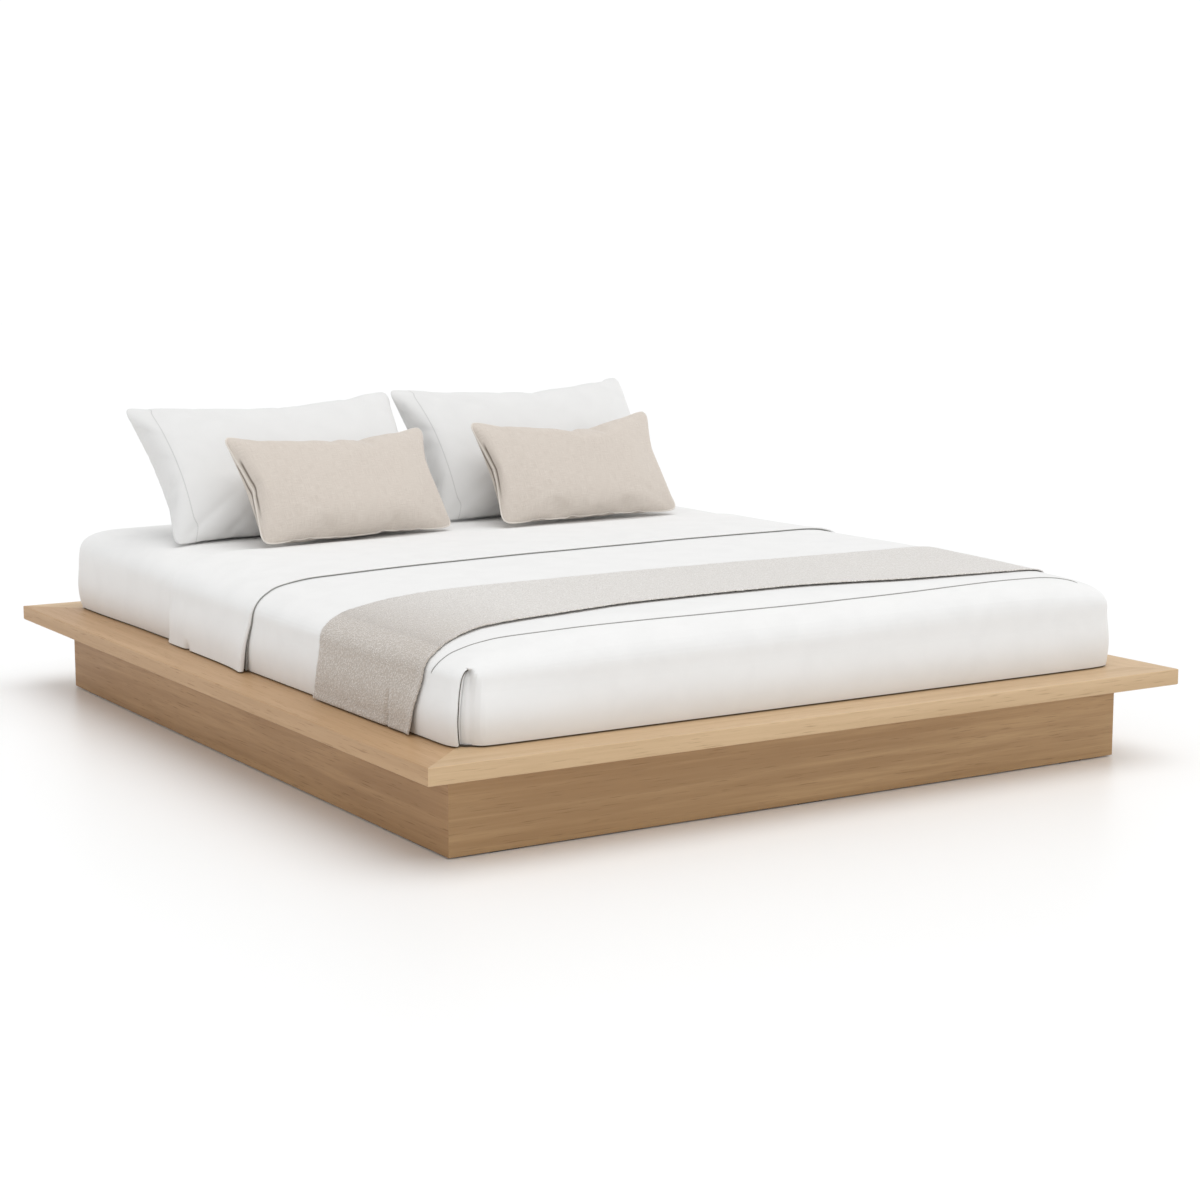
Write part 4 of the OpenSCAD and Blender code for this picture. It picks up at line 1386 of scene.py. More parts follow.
@dataclass
class BedCover:
    """The white cover, tucked in at the foot with folded corners and a piped top edge.

    Attributes:
        end_y: where it ends under the turned sheet.
        arch_rows: the heights of finer rows, for the folds' arched tops.
        fine_columns: how far in from the sides finer columns lie, for the same.
        piping_route: places along the bed of the piping, by its distance across.
        piping_r: the piping's radius.
        piping_step: the length of its straight bits.
        piping_sunk: how far its ends sink in.
        piping_sinks: over what length they do so.
        crease_r: the radius of the cord in the near corner's fold.
        crease_step: the length of its straight bits.
        crease_in: how far in it lies.
        crease_end: how far its top end sinks, and over what height.
        piping: the piping's grey finish, partly its own colour and partly painted shade of the foot edge's
            crease.
        crease: the finish of the cord in the fold, near black as painted shade of the fold's crease.
    """

    skin: BedSkin
    end_y: float
    cell: float = mm(12)
    lift: float = mm(3.75)
    thickness: float = mm(1.2)
    arch_rows: tuple[float, ...] = (0.300, 0.316, 0.328, 0.337, 0.344, 0.350, 0.355, 0.360, 0.364, 0.368)
    fine_columns: tuple[float, ...] = (mm(6), mm(18), mm(26), mm(34), mm(41), mm(47), mm(53))
    piping_route: Stops = (
        (-0.912, -0.878), (-0.860, -0.888), (-0.812, -0.887), (-0.775, -0.890), (-0.730, -0.894),
        (-0.670, -0.907), (-0.550, -0.930), (-0.245, -0.953), (0.250, -0.960), (0.594, -0.940),
        (0.664, -0.937), (0.715, -0.951), (0.744, -0.977), (0.762, -1.010),
    )
    piping_r: float = mm(1.5)
    piping_step: float = mm(8)
    piping_sunk: float = mm(4)
    piping_sinks: float = mm(35)
    crease_r: float = mm(1.2)
    crease_step: float = mm(5)
    crease_in: float = mm(2)
    crease_end: Pair = (mm(5), mm(14))
    cloth: Percale = Percale(*WHITE, 0.28)
    # partly painted shade: the foot-edge piping's grey also darkens the crease along that edge
    piping: Percale = Percale((0.34, 0.335, 0.32), (0.28, 0.275, 0.265), 0.1)
    # painted shade: the corner cord's near-black finish stands for the shadow in the fold's crease
    crease: Percale = Percale((0.13, 0.12, 0.11), (0.10, 0.095, 0.085), 0.1)

    def build(self) -> None:
        """Builds the cover and its piping."""
        skin = self.skin
        sides = (Side.TOP, Side.LEFT, Side.RIGHT, Side.FOOT)
        bm = shell(skin, sides, self.cell, self.end_y, skin.hem_z)
        self._cut_lines(bm)
        for vert in bm.verts:
            vert.co = self._place(vert.co)
        piece = publish("bed_cover_cloth", bm, self.cloth.make("cover_cotton_cloth"),
                        "bed_cover", sharp=52)
        thicken(piece, self.thickness)
        pipings = [self._build_piping(), self._build_corner_cord()]
        self.end_y + skin.half_l + skin.drop

    def _cut_lines(self, bm: BMesh) -> None:
        """Cuts the rows that carry the folded corners, and finer ones round their arched tops."""
        skin = self.skin
        for corner in (LEFT_CORNER, RIGHT_CORNER):
            for index in range(3):
                cut(bm, (0, -skin.half_l - corner.edge - corner.step * index, 0), (0, 1, 0))
        for height in self.arch_rows:
            cut(bm, (0, 0, height), (0, 0, 1))
        for side in (-1, 1):
            for past in self.fine_columns:
                cut(bm, (side * (skin.half_w - past), 0, 0), (1, 0, 0))

    def _place(self, spot: Vector) -> Vector:
        """Carries a spot to the cover, with the folded corners."""
        skin = self.skin
        corner = corner_near(spot)
        if not on_wall(skin, spot) or spot.z > corner.top or corner.around(skin, spot) < -2 * corner.ply:
            return skin.point(spot, self.lift)
        moved, push = corner.place(skin, spot)
        return skin.point(moved, self.lift) + outward(skin, moved) * push

    def _build_piping(self) -> Object:
        """Sews a thin cord along the foot's top edge, sinking into the cover at its ends.

        Its grey is partly the piping's own colour and partly painted shade of the edge's crease.
        """
        skin = self.skin
        first, last = self.piping_route[0][0], self.piping_route[-1][0]
        route = []
        for across in evenly(first, last, self.piping_step):
            ends = min(across - first, last - across)
            sunk = self.piping_sunk * (1 - ease(0, self.piping_sinks, ends))
            spot = skin.over(across, through(self.piping_route, across))
            route.append(skin.point(spot, self.lift + self.thickness / 2 - sunk))
        mesh = tube("cover_piping", route, self.piping_r)
        return publish("cover_piping", mesh, self.piping.make("cover_piping_cotton"))

    def _build_corner_cord(self) -> Object:
        """Sews a near-black cord down the near corner's fold, in the crease beside the ply's edge: painted
        shade of that crease.
        """
        skin, corner = self.skin, LEFT_CORNER
        low, high = skin.hem_z + mm(1), corner.top - mm(5)
        deep, over = self.crease_end
        route = []
        for height in evenly(low, high, self.crease_step):
            along = corner.edge + through(corner.lean, height) + mm(0.4)
            sunk = self.crease_in * corner.fade(height) + deep * ease(high - over, high, height)
            spot = corner.back_on(skin, along, Vector((-skin.half_w, 0, height)))
            route.append(skin.point(spot, self.lift - sunk))
        mesh = tube("corner_piping", route, self.crease_r)
        return publish("corner_piping", mesh, self.crease.make("corner_cord_painted_shade"))


@dataclass
class TurnedSheet:
    """The top sheet folded back over the cover: an open roll at the fold, and a hem at its end.

    Attributes:
        end_y: where its head-side hem lies.
        cover_y: where the cover ends beneath it.
        line: places along the bed of the fold, by its distance across.
        low: the lift of its lower ply.
        over: how far above that its upper ply rests on the cover.
        flush: the lift of its upper ply on the fitted sheet.
        hem_out: how much further out that ply lies at the side hems.
        step_down: how far before and past the cover's end it comes down.
        roll_top: the fold's radius on top.
        roll_hem: the fold's radius at the side hems.
        roll_power: how late it opens to that.
        gape: how far the fold stands out at the side hems.
        puff: how much fuller the fold is where it bends over the side.
        puff_in: how far in from the side that is.
        puff_reach: how far it reaches.
        under: the length of its lower ply.
        tuck_under: over what length that ply goes under the fold.
        settle: how far from the fold its upper ply comes to rest.
        notch: how deep the nick in its side hem is.
        notch_y: where that nick is.
        notch_w: how wide it is.
        piping_r: the radius of the cord in its fold.
        piping_step: the length of that cord's straight bits.
        piping: the cord's grey finish, partly its own colour and partly painted shade of the crease under the
            fold.
    """

    skin: BedSkin
    end_y: float
    cover_y: float
    line: Stops = (
        (-1.002, -0.078), (-0.935, -0.088), (-0.875, -0.100), (-0.825, -0.092), (-0.770, -0.086),
        (-0.700, -0.092), (-0.610, -0.094), (-0.380, -0.087), (-0.035, -0.070), (0.555, -0.042),
        (0.810, -0.038), (1.002, -0.030),
    )
    cell: float = mm(9)
    thickness: float = mm(0.45)
    low: float = mm(5.7)
    over: float = mm(1.2)
    flush: float = mm(2.0)
    hem_out: float = mm(3.4)
    step_down: Pair = (mm(4), mm(32))
    roll_top: float = mm(2.0)
    roll_hem: float = mm(6)
    roll_power: float = 1.3
    gape: float = mm(3)
    puff: float = mm(1.5)
    puff_in: float = mm(20)
    puff_reach: float = mm(70)
    under: float = mm(90)
    tuck_under: float = mm(60)
    settle: float = mm(68)
    notch: float = mm(4)
    notch_y: float = 0.25
    notch_w: float = mm(9)
    piping_r: float = mm(1.3)
    piping_step: float = mm(9)
    cloth: Percale = Percale(*WHITE, 0.28)
    # partly painted shade: the fold cord's grey also darkens the crease under the fold
    piping: Percale = Percale((0.30, 0.30, 0.28), (0.26, 0.26, 0.24), 0.1)

    def build(self) -> Object:
        """Builds the folded sheet with the cord in its fold."""
        skin = self.skin
        upper = self.end_y - through(self.line, 0.0)
        curl = math.pi * self.roll_top
        total = upper + curl + self.under
        bm = strip(2 * skin.reach, total, self.cell)
        for run in (upper - mm(10), *(upper + curl * quarter / 4 for quarter in range(5))):
            cut(bm, (0, total / 2 - run, 0), (0, 1, 0))
        for vert in bm.verts:
            vert.co = self._place(vert.co.x, total / 2 - vert.co.y, upper, curl)
        piece = publish("turned_sheet", bm, self.cloth.make("turned_sheet_cotton"),
                        "sheet_turndown")
        thicken(piece, self.thickness)
        piping = self._build_piping()
        return piece

    def _roll(self, across: float) -> float:
        """The fold's radius, which opens towards the hem."""
        return self.roll_top + (self.roll_hem - self.roll_top) * self.skin.hang(across) ** self.roll_power

    def _puff(self, across: float) -> float:
        """How much fuller the fold is where it bends over the side."""
        return self.puff * hill(abs(across), self.skin.half_w - self.puff_in, self.puff_reach)

    def _place(self, across: float, run: float, upper: float, curl: float) -> Vector:
        """Carries a flat spot to the fold.

        Args:
            across: the distance across the bed from the middle.
            run: the distance from the head-side hem, over the fold and back beneath.
            upper: the length of the upper ply.
            curl: the length that goes round the fold.

        Returns:
            The point in the frame.
        """
        roll = self._roll(across)
        line = through(self.line, across)
        hang = self.skin.hang(across)
        low = self.low + self.gape * hang ** 2 + self._puff(across)
        if run <= upper:
            back = upper - run
            y = line + roll + back * (self.end_y - line - roll) / upper
            rest = self._resting(y, hang)
            lift = rest + (low + 2 * roll - rest) * math.exp(-back / self.settle)
            lift -= self.notch * hill(y, self.notch_y, self.notch_w) * ease(0.9, 1.0, hang)
        elif run <= upper + curl:
            angle = math.pi * (run - upper) / curl
            lift = low + roll + roll * math.cos(angle)
            y = line + roll - roll * math.sin(angle)
        else:
            behind = run - upper - curl
            lift = low + (self.low - low) * ease(0.0, self.tuck_under, behind)
            y = line + roll + behind
        return self.skin.point(self.skin.over(across, y), lift)

    def _resting(self, y: float, hang: float) -> float:
        """Gives the upper ply's rest: over the cover, then down to the fitted sheet.

        Args:
            y: the place along the bed.
            hang: how far down the side it is, from 0 on top to 1 at the hem.

        Returns:
            The ply's lift, away from the fold.
        """
        over = self.low + self.over
        beyond = self.flush + self.hem_out * hang ** 6
        before, past = self.step_down
        return over + (beyond - over) * ease(self.cover_y - before, self.cover_y + past, y)

    def _build_piping(self) -> Object:
        """Lays a thin grey cord in the crease under the fold; its grey is partly painted shade of that
        crease.
        """
        reach = self.skin.reach - mm(2)
        route = []
        for across in evenly(-reach, reach, self.piping_step):
            y = through(self.line, across) + mm(0.4)
            route.append(self.skin.point(self.skin.over(across, y), self.low + self.piping_r * 0.5))
        mesh = tube("fold_piping", route, self.piping_r)
        return publish("fold_piping", mesh, self.piping.make("fold_piping_cotton"))


@dataclass
class BedRunner:
    """The nubby runner across the foot half.

    Attributes:
        foot_line: places along the bed of its foot edge, by its distance across.
        head_line: places along the bed of its head edge, by its distance across.
        nub: how high its nubs are.
        nubs: how fine the nubs' two sizes are, and where each noise is read.
        fray: how far its edges wander.
        fray_in: how far in from an edge that reaches.
        curl: how far its foot edge curls up.
        curl_in: how far in from that edge the curl reaches.
        curl_loss: the share of the curl that is lost towards the right.
        curl_span: where across the bed that starts, and where it is full.
        dip: how far its head edge turns down.
        dip_in: how far in from that edge it does so.
        hem: how high above its ends the hem's groove runs.
        hem_raise: how much thicker the doubled hem is.
        groove: how deep its groove is.
        groove_w: how wide the groove is.
        crease: how deep the crease in its hanging ends is.
        crease_y: where that crease is.
        crease_w: how wide it is.
        edge_round: how far its edges are rounded off.
    """

    skin: BedSkin
    foot_line: Stops = (
        (-1.007, -0.846), (-0.945, -0.862), (-0.895, -0.866), (-0.855, -0.862), (-0.800, -0.849),
        (-0.745, -0.840), (-0.655, -0.829), (-0.490, -0.830), (-0.310, -0.815), (0.100, -0.832),
        (0.320, -0.872), (0.395, -0.878), (0.610, -0.871), (0.700, -0.852), (0.780, -0.815),
        (1.005, -0.720),
    )
    head_line: Stops = (
        (-1.003, -0.421), (-0.951, -0.432), (-0.898, -0.436), (-0.835, -0.430), (-0.780, -0.429),
        (-0.680, -0.442), (-0.555, -0.424), (-0.250, -0.438), (0.530, -0.467), (0.810, -0.460),
        (1.003, -0.430),
    )
    cell: float = mm(5.5)
    lift: float = mm(7.3)
    thickness: float = mm(2.6)
    nub: float = mm(0.55)
    nubs: Stops = ((210, 3.7), (95, 8.1))
    fray: float = mm(1.8)
    fray_in: float = mm(10)
    curl: float = mm(3.2)
    curl_in: float = mm(22)
    curl_loss: float = 0.6
    curl_span: Pair = (0.3, 0.8)
    dip: float = mm(0.8)
    dip_in: float = mm(6)
    hem: float = mm(14)
    hem_raise: float = mm(1.0)
    groove: float = mm(1.6)
    groove_w: float = mm(2.6)
    crease: float = mm(3)
    crease_y: float = -0.749
    crease_w: float = mm(4.5)
    edge_round: float = mm(0.8)
    cloth: Boucle = Boucle((0.95, 0.92, 0.885), (0.64, 0.60, 0.55))

    def build(self) -> None:
        """Builds the runner."""
        length = through(self.head_line, 0.0) - through(self.foot_line, 0.0)
        bm = strip(2 * self.skin.reach, length, self.cell)
        for vert in bm.verts:
            vert.co = self._place(vert.co.x, vert.co.y / length + 0.5, length)
        piece = publish("runner_cloth", bm, self.cloth.make("runner_weave"), "bed_runner")
        thicken(piece, self.thickness)
        edge = piece.modifiers.new("soft_edge", "BEVEL")
        edge.width = self.edge_round
        edge.segments = 1
        edge.limit_method = "ANGLE"
        edge.angle_limit = math.radians(60)

    def _place(self, across: float, share: float, length: float) -> Vector:
        """Carries a flat spot to the bed.

        Args:
            across: the distance across the bed from the middle.
            share: 0 at the foot edge and 1 at the head edge.
            length: the runner's length along the bed.

        Returns:
            The point in the frame.
        """
        skin = self.skin
        foot, head = through(self.foot_line, across), through(self.head_line, across)
        y = foot + (head - foot) * share
        edge = min(share, 1 - share) * length
        ragged = noise.noise(Vector((across * 170, share * 3, 0.5))) * self.fray
        y += ragged * (1 - ease(0, self.fray_in, edge)) * (1 if share > 0.5 else -1)
        lift = self.lift + self._hem(across)
        for fine, plane in self.nubs:
            lift += noise.noise(Vector((across * fine, y * fine, plane))) * self.nub
        if share < 0.5:
            curl = self.curl * (1 - self.curl_loss * ease(*self.curl_span, across))
            lift += curl * (1 - ease(0, self.curl_in, edge))
        else:
            lift -= self.dip * (1 - ease(0, self.dip_in, edge))
        low = ease(0.5, 0.75, skin.hang(across))
        lift -= self.crease * hill(y, self.crease_y, self.crease_w) * low
        return skin.point(skin.over(across, y), lift)

    def _hem(self, across: float) -> float:
        """The doubled hem at each end, with its stitched groove."""
        up = self.skin.reach - abs(across)
        doubled = self.hem_raise * (1 - ease(self.hem, self.hem + mm(4), up))
        return doubled - self.groove * hill(up, self.hem, self.groove_w)


@dataclass
class StuffedCase:
    """A sewn, filled case that leans back on the bed: a pillow or a cushion.

    Attributes:
        node: the CAD node that it replaces.
        slot: the record's material slot; not used.
        width: its width along the bed's width.
        height: its height before it leans.
        thickness: its thickness at the crown.
        lean: how far it leans back, in degrees from upright.
        turn: how far it is turned in plan, in degrees.
        seed: moves its wrinkles.
        cell: the size of a face before the last subdivision.
        wrinkle: the height of its soft wrinkles.
        fold: the height of the short folds under its upper seam.
        fold_from: how far up the folds start, and where they are full, as shares of its half height.
        fold_to: how far up they thin out, and where they end.
        fill: how full it is meant to be; not used.
        draw_in: how far its short sides curve in before the filling presses.
        draw_in_long: the same for its upper side.
        draw_in_low: the same for its lower side, which the bed holds straight.
        corner_power: how tight its corners' rounding is.
        seam: the thickness of its sewn edge.
        crown_flatness: how late the crown falls to the seam.
        crown_fullness: how steep that fall is.
        spare: how much larger the cloth is cut than the filled case.
        frames: how many steps the filling is given to press the cloth out.
        pressure: how hard it presses.
        travel: how far the cloth may move under it.
        flatter: how thick the case is before the filling presses, as a share.
        sag: how far the filling has sunk towards the lower edge, as a share.
        level: how much of its lower side's curve the bed straightens, and over what share of its half height.
        sink: how far it sinks into the bed.
        bed_reach: how high above its base it still follows the bed.
        soft: how high above the bed it starts to flatten.
        gap: how far its flattened side stays clear of the bed.
        shift: how far it stands from its CAD solid's place, to the right and to the head.
        tug: how far its upper right corner is pulled out and up.
        cord: the finish of the cord sewn round it, if it has one.
        cord_r: that cord's radius.
    """

    node: str
    slot: str
    width: float
    height: float
    thickness: float
    lean: float
    turn: float
    seed: float
    cell: float = mm(11)
    wrinkle: float = mm(2.0)
    fold: float = mm(1.5)
    fold_from: Pair = (0.25, 0.7)
    fold_to: Pair = (0.82, 0.98)
    fill: float = 0.7
    draw_in: float = 0.03
    draw_in_long: float = 0.12
    draw_in_low: float = 0.02
    corner_power: float = 18
    seam: float = mm(3)
    crown_flatness: float = 2.6
    crown_fullness: float = 0.62
    spare: float = 0.01
    frames: int = 10
    pressure: float = 2.5
    travel: float = mm(40)
    flatter: float = 0.76
    sag: float = 0.22
    level: Pair = (0.9, 0.9)
    sink: float = mm(10)
    bed_reach: float = mm(130)
    soft: float = mm(12)
    gap: float = mm(0.8)
    shift: Pair = (0.0, 0.0)
    tug: Pair = (0.0, 0.0)
    cord: Material | None = None
    cord_r: float = mm(2)

    @property
    def name(self) -> str:
        """The piece's name."""
        return f"{self.node}_case"

    def build(self, cloth: Material, floor: BVHTree) -> None:
        """Builds the case.

        Args:
            cloth: its finish.
            floor: the surface that it stands on.
        """
        bm = self._panels()
        flat = [vert.co.copy() for vert in bm.verts]
        rungs = self._rungs(bm)
        for vert in bm.verts:
            vert.co = self._stuffed(vert.co)
        self._fill_out(bm, [self._rounded(spot) * (1 + self.spare) for spot in flat])
        for vert, spot in zip(bm.verts, flat):
            vert.co.z += math.copysign(self._folds(spot), spot.z)
        self._fit(bm)
        self._stand(bm, floor)
        if self.cord is not None:
            self._build_cord(rungs, floor)
        piece = publish(self.name, bm, cloth, self.node)
        smooth = piece.modifiers.new("smooth", "SUBSURF")
        smooth.levels = 1
        smooth.render_levels = 1

    def _panels(self) -> BMesh:
        """Two flat panels, sewn round their edge, with flat coordinates in metres."""
        bm = strip(self.width, self.height, self.cell)
        front = list(bm.faces)
        copied = bmesh.ops.duplicate(bm, geom=[*bm.verts, *bm.edges, *bm.faces])
        back = [item for item in copied["geom"] if isinstance(item, BMFace)]
        bmesh.ops.reverse_faces(bm, faces=back)
        for faces, side in ((front, 1), (back, -1)):
            for vert in {vert for face in faces for vert in face.verts}:
                vert.co.z = side * self.seam / 2
        rims = [edge for edge in bm.edges if edge.is_boundary]
        bmesh.ops.bridge_loops(bm, edges=rims)
        bmesh.ops.recalc_face_normals(bm, faces=bm.faces)
        return bm

    def _rungs(self, bm: BMesh) -> list[BMEdge]:
        """The short edges that join the panels, in order round the seam."""
        joins = []
        for edge in bm.edges:
            first, second = (vert.co for vert in edge.verts)
            if (first.xy - second.xy).length < WELD:
                joins.append(edge)
        joins.sort(key=lambda edge: math.atan2(edge.verts[0].co.y, edge.verts[0].co.x))
        return joins

    def _rounded(self, spot: Vector) -> Vector:
        """Carries a rectangle's spot to the panel with its rounded corners."""
        u, v = abs(2 * spot.x / self.width), abs(2 * spot.y / self.height)
        power = self.corner_power
        share = max(u, v) / max(WELD, (u ** power + v ** power) ** (1 / power))
        return Vector((spot.x * share, spot.y * share, spot.z))

    def _stuffed(self, spot: Vector) -> Vector:
        """Carries a flat panel's spot to the filled form."""
        u, v = 2 * spot.x / self.width, 2 * spot.y / self.height
        spot = self._rounded(spot)
        x = spot.x * (1 - self.draw_in * (1 - v * v) * abs(u))
        curve = self.draw_in_long if v > 0 else self.draw_in_low
        y = spot.y * (1 - curve * (1 - u * u) * abs(v))
        crown = (self._fallen(u) * self._fallen(v + self.sag * (1 - v * v))) ** self.crown_fullness
        half = (self.seam + (self.thickness * self.flatter - self.seam) * crown) / 2
        half += self._wrinkles(spot, crown)
        return Vector((x, y, math.copysign(half, spot.z)))

    def _fallen(self, share: float) -> float:
        """1 in the middle and 0 at the seam."""
        return max(0.0, 1 - abs(share) ** self.crown_flatness)

    def _folds(self, spot: Vector) -> float:
        """Short folds that run down from the upper seam."""
        v = 2 * spot.y / self.height
        band = ease(*self.fold_from, v) * (1 - ease(*self.fold_to, v))
        return self.fold * band * self._noise(spot, 24, 6, 1.7)

    def _wrinkles(self, spot: Vector, crown: float) -> float:
        """Soft pulls that run in from the seams, and broad dents between them."""
        rim = (1 - crown) * crown * 4
        fan = self._noise(spot, 16, 4, 0.0) * rim
        broad = self._noise(spot, 5, 7, 4.2) * crown
        return self.wrinkle * (fan * 1.4 + broad * 0.8)

    def _noise(self, spot: Vector, across: float, up: float, plane: float) -> float:
        """Soft noise, as fine as those counts across and up the case."""
        return noise.noise(Vector((spot.x * across, spot.y * up, self.seed + plane)))

    def _fill_out(self, bm: BMesh, cut: Sequence[Vector]) -> None:
        """Lets the filling press the sewn cloth out, so that its spare cloth wrinkles at the seams.

        Args:
            bm: the case in its formula's shape, which takes the new one.
            cut: its points on the flat panels that the cloth was cut to.
        """
        mesh = bpy.data.meshes.new("filling")
        bm.to_mesh(mesh)
        case = bpy.data.objects.new("filling", mesh)
        scene = bpy.context.scene
        scene.collection.objects.link(case)
        case.shape_key_add(name="filled")
        flat = case.shape_key_add(name="cut")
        for place, spot in zip(flat.data, cut):
            place.co = spot
        cloth = case.modifiers.new("filling", "CLOTH")
        cloth.settings.rest_shape_key = flat
        cloth.settings.quality = 5
        cloth.settings.mass = 0.2
        cloth.settings.bending_stiffness = 0.4
        cloth.settings.use_pressure = True
        cloth.settings.uniform_pressure_force = self.pressure
        cloth.settings.effector_weights.gravity = 0.0
        cloth.point_cache.frame_end = self.frames
        for frame in range(1, self.frames + 1):
            scene.frame_set(frame)
        graph = bpy.context.evaluated_depsgraph_get()
        pressed = bpy.data.meshes.new_from_object(case.evaluated_get(graph))
        for vert, done in zip(bm.verts, pressed.vertices):
            step = done.co - vert.co
            vert.co += step * min(1.0, self.travel / max(step.length, WELD))
        scene.frame_set(1)
        bpy.data.objects.remove(case)
        bpy.data.meshes.remove(mesh)
        bpy.data.meshes.remove(pressed)

    def _fit(self, bm: BMesh) -> None:
        """Brings the filled case to its own size, straightens its lower side and pulls its upper corner."""
        for axis, size in enumerate((self.width, self.height, self.thickness)):
            places = [vert.co[axis] for vert in bm.verts]
            share = size / (max(places) - min(places))
            middle = (max(places) + min(places)) / 2
            for vert in bm.verts:
                vert.co[axis] = (vert.co[axis] - middle) * share
        middle = min(vert.co.y for vert in bm.verts if abs(vert.co.x) < self.cell)
        curve = middle + self.height / 2
        much, reach = self.level
        for vert in bm.verts:
            span = clamp(1 - (2 * vert.co.x / self.width) ** 2)
            vert.co.y -= much * curve * span * ease(0, reach * self.height / 2, -vert.co.y)
            share = ease(0, self.height / 2, vert.co.y) * ease(0, self.width / 2, vert.co.x)
            vert.co.x += self.tug[0] * share
            vert.co.y += self.tug[1] * share

    def _build_cord(self, rungs: Sequence[BMEdge], floor: BVHTree) -> None:
        """Sews a thin cord round the seam."""
        route = []
        for rung in rungs:
            spot = (rung.verts[0].co + rung.verts[1].co) / 2
            ground = self._ground(floor, spot)
            if ground is not None:
                spot.z = max(spot.z, ground + self.cord_r + mm(0.4))
            route.append(spot)
        mesh = tube(f"{self.name}_cord", route, self.cord_r, closed=True)
        publish(f"{self.name}_cord", mesh, self.cord)

    def _stand(self, bm: BMesh, floor: BVHTree) -> None:
        """Leans and turns the case, sets it where its CAD solid is and beds it on the bed."""
        low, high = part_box(self.node)
        tilt = Matrix.Rotation(math.radians(90 - self.lean), 4, "X")
        turn = Matrix.Rotation(math.radians(self.turn), 4, "Z")
        bmesh.ops.transform(bm, matrix=turn @ tilt, verts=bm.verts)
        spots = [vert.co for vert in bm.verts]
        middle = [(min(s[i] for s in spots) + max(s[i] for s in spots)) / 2 for i in range(2)]
        base = min(s.z for s in spots)
        shift = Vector(((low.x + high.x) / 2 - middle[0] + self.shift[0],
                        (low.y + high.y) / 2 - middle[1] + self.shift[1], low.z - base))
        bmesh.ops.translate(bm, vec=shift - Vector((0, 0, self.sink)), verts=bm.verts)
        for vert in bm.verts:
            self._bed_down(vert, floor, low.z)

    def _bed_down(self, vert: BMVert, floor: BVHTree, base: float) -> None:
        """Lets the lower edge follow the bed and flattens it there."""
        ground = self._ground(floor, vert.co)
        if ground is None:
            return
        vert.co.z += (ground - base) * (1 - ease(0, self.bed_reach, vert.co.z - base))
        above = vert.co.z - ground
        if above < self.soft:
            pressed = (self.soft - self.gap) * math.exp((above - self.soft) / self.soft)
            vert.co.z = ground + self.gap + pressed

    @staticmethod
    def _ground(floor: BVHTree, spot: Vector) -> float | None:
        """The height of the bed under a spot."""
        hit = floor.ray_cast(Vector((spot.x, spot.y, OVERHEAD)), Vector((0, 0, -1)))[0]
        return None if hit is None else hit.z


@dataclass
class Bedding:
    """Everything that lies on the deck.

    Attributes:
        short: how far the turned sheet's head-side hem lies short of its CAD solid's.
        pillow: the pillows' finish.
        linen: the left cushion's finish.
        right_crease_shade: where the right cushion has its painted shade in the crease beside the seam.
        cord: the finish of the cushions' cords.
    """

    skin: BedSkin
    short: float = mm(34)
    pillow: Percale = Percale((0.76, 0.755, 0.745), (0.73, 0.725, 0.715), 0.4, hem_at=-0.3125)
    linen: WashedLinen = WashedLinen(
        (0.63, 0.566, 0.503), (0.56, 0.493, 0.434), (0.69, 0.629, 0.565), crease_shade_at=-0.2715,
    )
    right_crease_shade: float = -0.263
    cord: WashedLinen = WashedLinen((0.74, 0.69, 0.63), (0.69, 0.64, 0.58), (0.79, 0.74, 0.68))

    def build(self) -> None:
        """Builds the layers from the mattress up, and the pillows and cushions on them."""
        skin = self.skin
        Mattress(skin).build()
        sheet = FittedSheet(skin).build()
        cover_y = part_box("bed_cover")[1].y
        BedCover(skin, end_y=cover_y).build()
        turned_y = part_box("sheet_turndown")[1].y - self.short
        turned = TurnedSheet(skin, end_y=turned_y, cover_y=cover_y).build()
        BedRunner(skin).build()
        floor = surface_of([sheet, turned])
        self._build_pillows(floor)
        self._build_cushions(floor)

    def _build_pillows(self, floor: BVHTree) -> None:
        """Builds the two white pillows."""
        cloth = self.pillow.make("pillow_cotton_cloth")
        left = StuffedCase(
            "pillow_left", "pillow_cotton", mm(725), mm(422), mm(180), lean=45, turn=2, seed=2.3,
            cell=mm(9), wrinkle=mm(3), sink=mm(20), shift=(mm(2), 0.0), tug=(mm(14), mm(22)),
        )
        right = replace(
            left, node="pillow_right", width=mm(722), height=mm(418), lean=41, seed=9.1, sink=mm(12),
            shift=(mm(-9), 0.0), tug=(mm(12), mm(14)),
        )
        left.build(cloth, floor)
        right.build(cloth, floor)

    def _build_cushions(self, floor: BVHTree) -> None:
        """Builds the two linen cushions with their cords."""
        left_cloth = self.linen.make("cushion_linen_left")
        right_cloth = replace(self.linen, crease_shade_at=self.right_crease_shade).make("cushion_linen_right")
        left = StuffedCase(
            "cushion_left", "cushion_linen", mm(555), mm(281), mm(128), lean=35, turn=10, seed=5.7,
            cell=mm(8), wrinkle=mm(5), fold=mm(7), spare=0.025, flatter=0.7, draw_in_long=0.14,
            sink=mm(1), shift=(mm(9), mm(6)), tug=(mm(26), mm(-6)),
            cord=self.cord.make("cushion_cord_linen"),
        )
        right = replace(
            left, node="cushion_right", width=mm(538), height=mm(283), turn=3, spare=0.035, frames=22,
            pressure=1.0, draw_in_long=0.12, sink=mm(-2), shift=(mm(2), mm(12)), tug=(mm(22), mm(8)),
        )
        left.build(left_cloth, floor)
        right.build(right_cloth, floor)


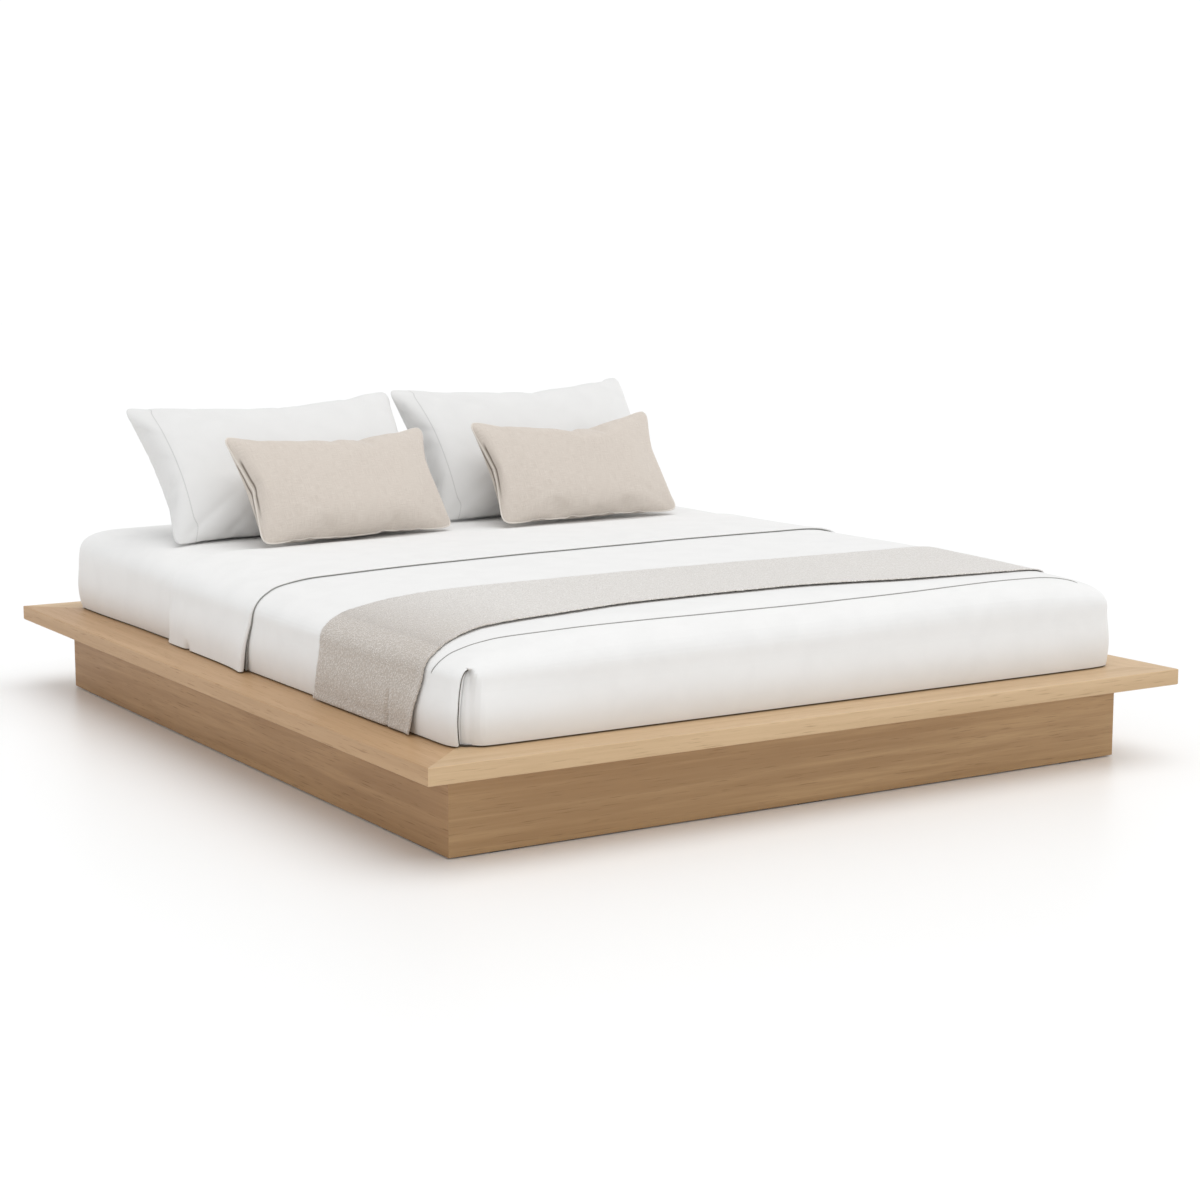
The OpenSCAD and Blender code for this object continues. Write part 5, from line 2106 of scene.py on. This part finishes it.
def surface_of(pieces: Sequence[Object]) -> BVHTree:
    """Gathers pieces' finished surfaces, to stand things on.

    Args:
        pieces: the pieces.

    Returns:
        A tree of their faces.
    """
    graph = bpy.context.evaluated_depsgraph_get()
    bm = bmesh.new()
    for piece in pieces:
        mesh = bpy.data.meshes.new_from_object(piece.evaluated_get(graph))
        bm.from_mesh(mesh)
        bpy.data.meshes.remove(mesh)
    tree = BVHTree.FromBMesh(bm)
    bm.free()
    return tree


@dataclass
class Studio:
    """A pale floor, soft light and the camera, with its angles in degrees.

    Attributes:
        bright: the strength of the light from all round, at the horizon.
        zenith: its strength overhead.
        glow: how much stronger it is from the left.
    """

    camera_at: Triple = (-2.7552, -4.6095, 1.096)
    pitch: float = 81.388
    yaw: float = -32.024
    lens: float = 69.38
    floor_colour: Colour = (0.965, 0.965, 0.96)
    floor_size: float = 60.0
    sky: Colour = (0.983, 0.991, 1.0)
    bright: float = 1.075
    zenith: float = 0.55
    glow: float = 0.11
    glow_from: Triple = (-0.98, -0.1, 0.15)
    sun_from: Triple = (0.18, -0.2, 0.96)
    sun_power: float = 1.58
    sun_width: float = 70.0

    def build(self) -> None:
        """Sets up everything round the bed."""
        self._build_camera()
        self._build_floor()
        self._build_sun()
        self._build_world()

    def _build_camera(self) -> None:
        """Places the camera at the photographed angle."""
        camera = bpy.data.objects.new("camera", bpy.data.cameras.new("camera"))
        camera.data.lens = self.lens
        camera.data.sensor_width = 36.0
        camera.data.clip_end = 200.0
        camera.location = self.camera_at
        camera.rotation_euler = (math.radians(self.pitch), 0.0, math.radians(self.yaw))
        bpy.context.scene.collection.objects.link(camera)
        bpy.context.scene.camera = camera

    def _build_floor(self) -> None:
        """Lays the floor, with a faint sheen."""
        bm = strip(self.floor_size, self.floor_size, self.floor_size)
        mesh = bpy.data.meshes.new("floor")
        bm.to_mesh(mesh)
        bm.free()
        floor = bpy.data.objects.new("floor", mesh)
        tree = FinishTree("studio_floor")
        tree.set(Base_Color=self.floor_colour, Roughness=0.35, Specular_IOR_Level=0.3)
        mesh.materials.append(tree.material)
        bpy.context.scene.collection.objects.link(floor)

    def _build_sun(self) -> None:
        """Adds a very wide soft light from above, the foot and the right."""
        data = bpy.data.lights.new("softbox", "SUN")
        data.energy = self.sun_power
        data.angle = math.radians(self.sun_width)
        lamp = bpy.data.objects.new("softbox", data)
        lamp.rotation_euler = Vector(self.sun_from).to_track_quat("Z", "Y").to_euler()
        bpy.context.scene.collection.objects.link(lamp)

    def _build_world(self) -> None:
        """Lights the scene from all round, a little more from the left, and keeps plain colours."""
        world = bpy.data.worlds.new("studio")
        tree = Tree(world, "Background")
        ray = tree.wire("ShaderNodeTexCoord", output="Generated")
        towards = tree.wire("ShaderNodeVectorMath", {"operation": "DOT_PRODUCT"},
                            {0: ray, 1: Vector(self.glow_from).normalized()}, "Value")
        height = tree.wire("ShaderNodeSeparateXYZ", None, {"Vector": ray}, "Z").band(0.1, 0.5)
        strength = self.bright - height * (self.bright - self.zenith)
        strength = strength + towards.band(-0.1, 0.85) * self.glow
        tree.set(Color=self.sky, Strength=strength)
        bpy.context.scene.world = world
        bpy.context.scene.view_settings.view_transform = "Standard"


def main() -> None:
    """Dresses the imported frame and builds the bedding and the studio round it."""
    logging.basicConfig(level=logging.INFO, format="%(name)s %(message)s")
    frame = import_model()
    Studio().build()
    Woodwork().dress(frame["nodes"])
    Hardware().dress(frame["nodes"])
    Bedding(BedSkin.from_frame()).build()


if __name__ == "__main__":
    main()
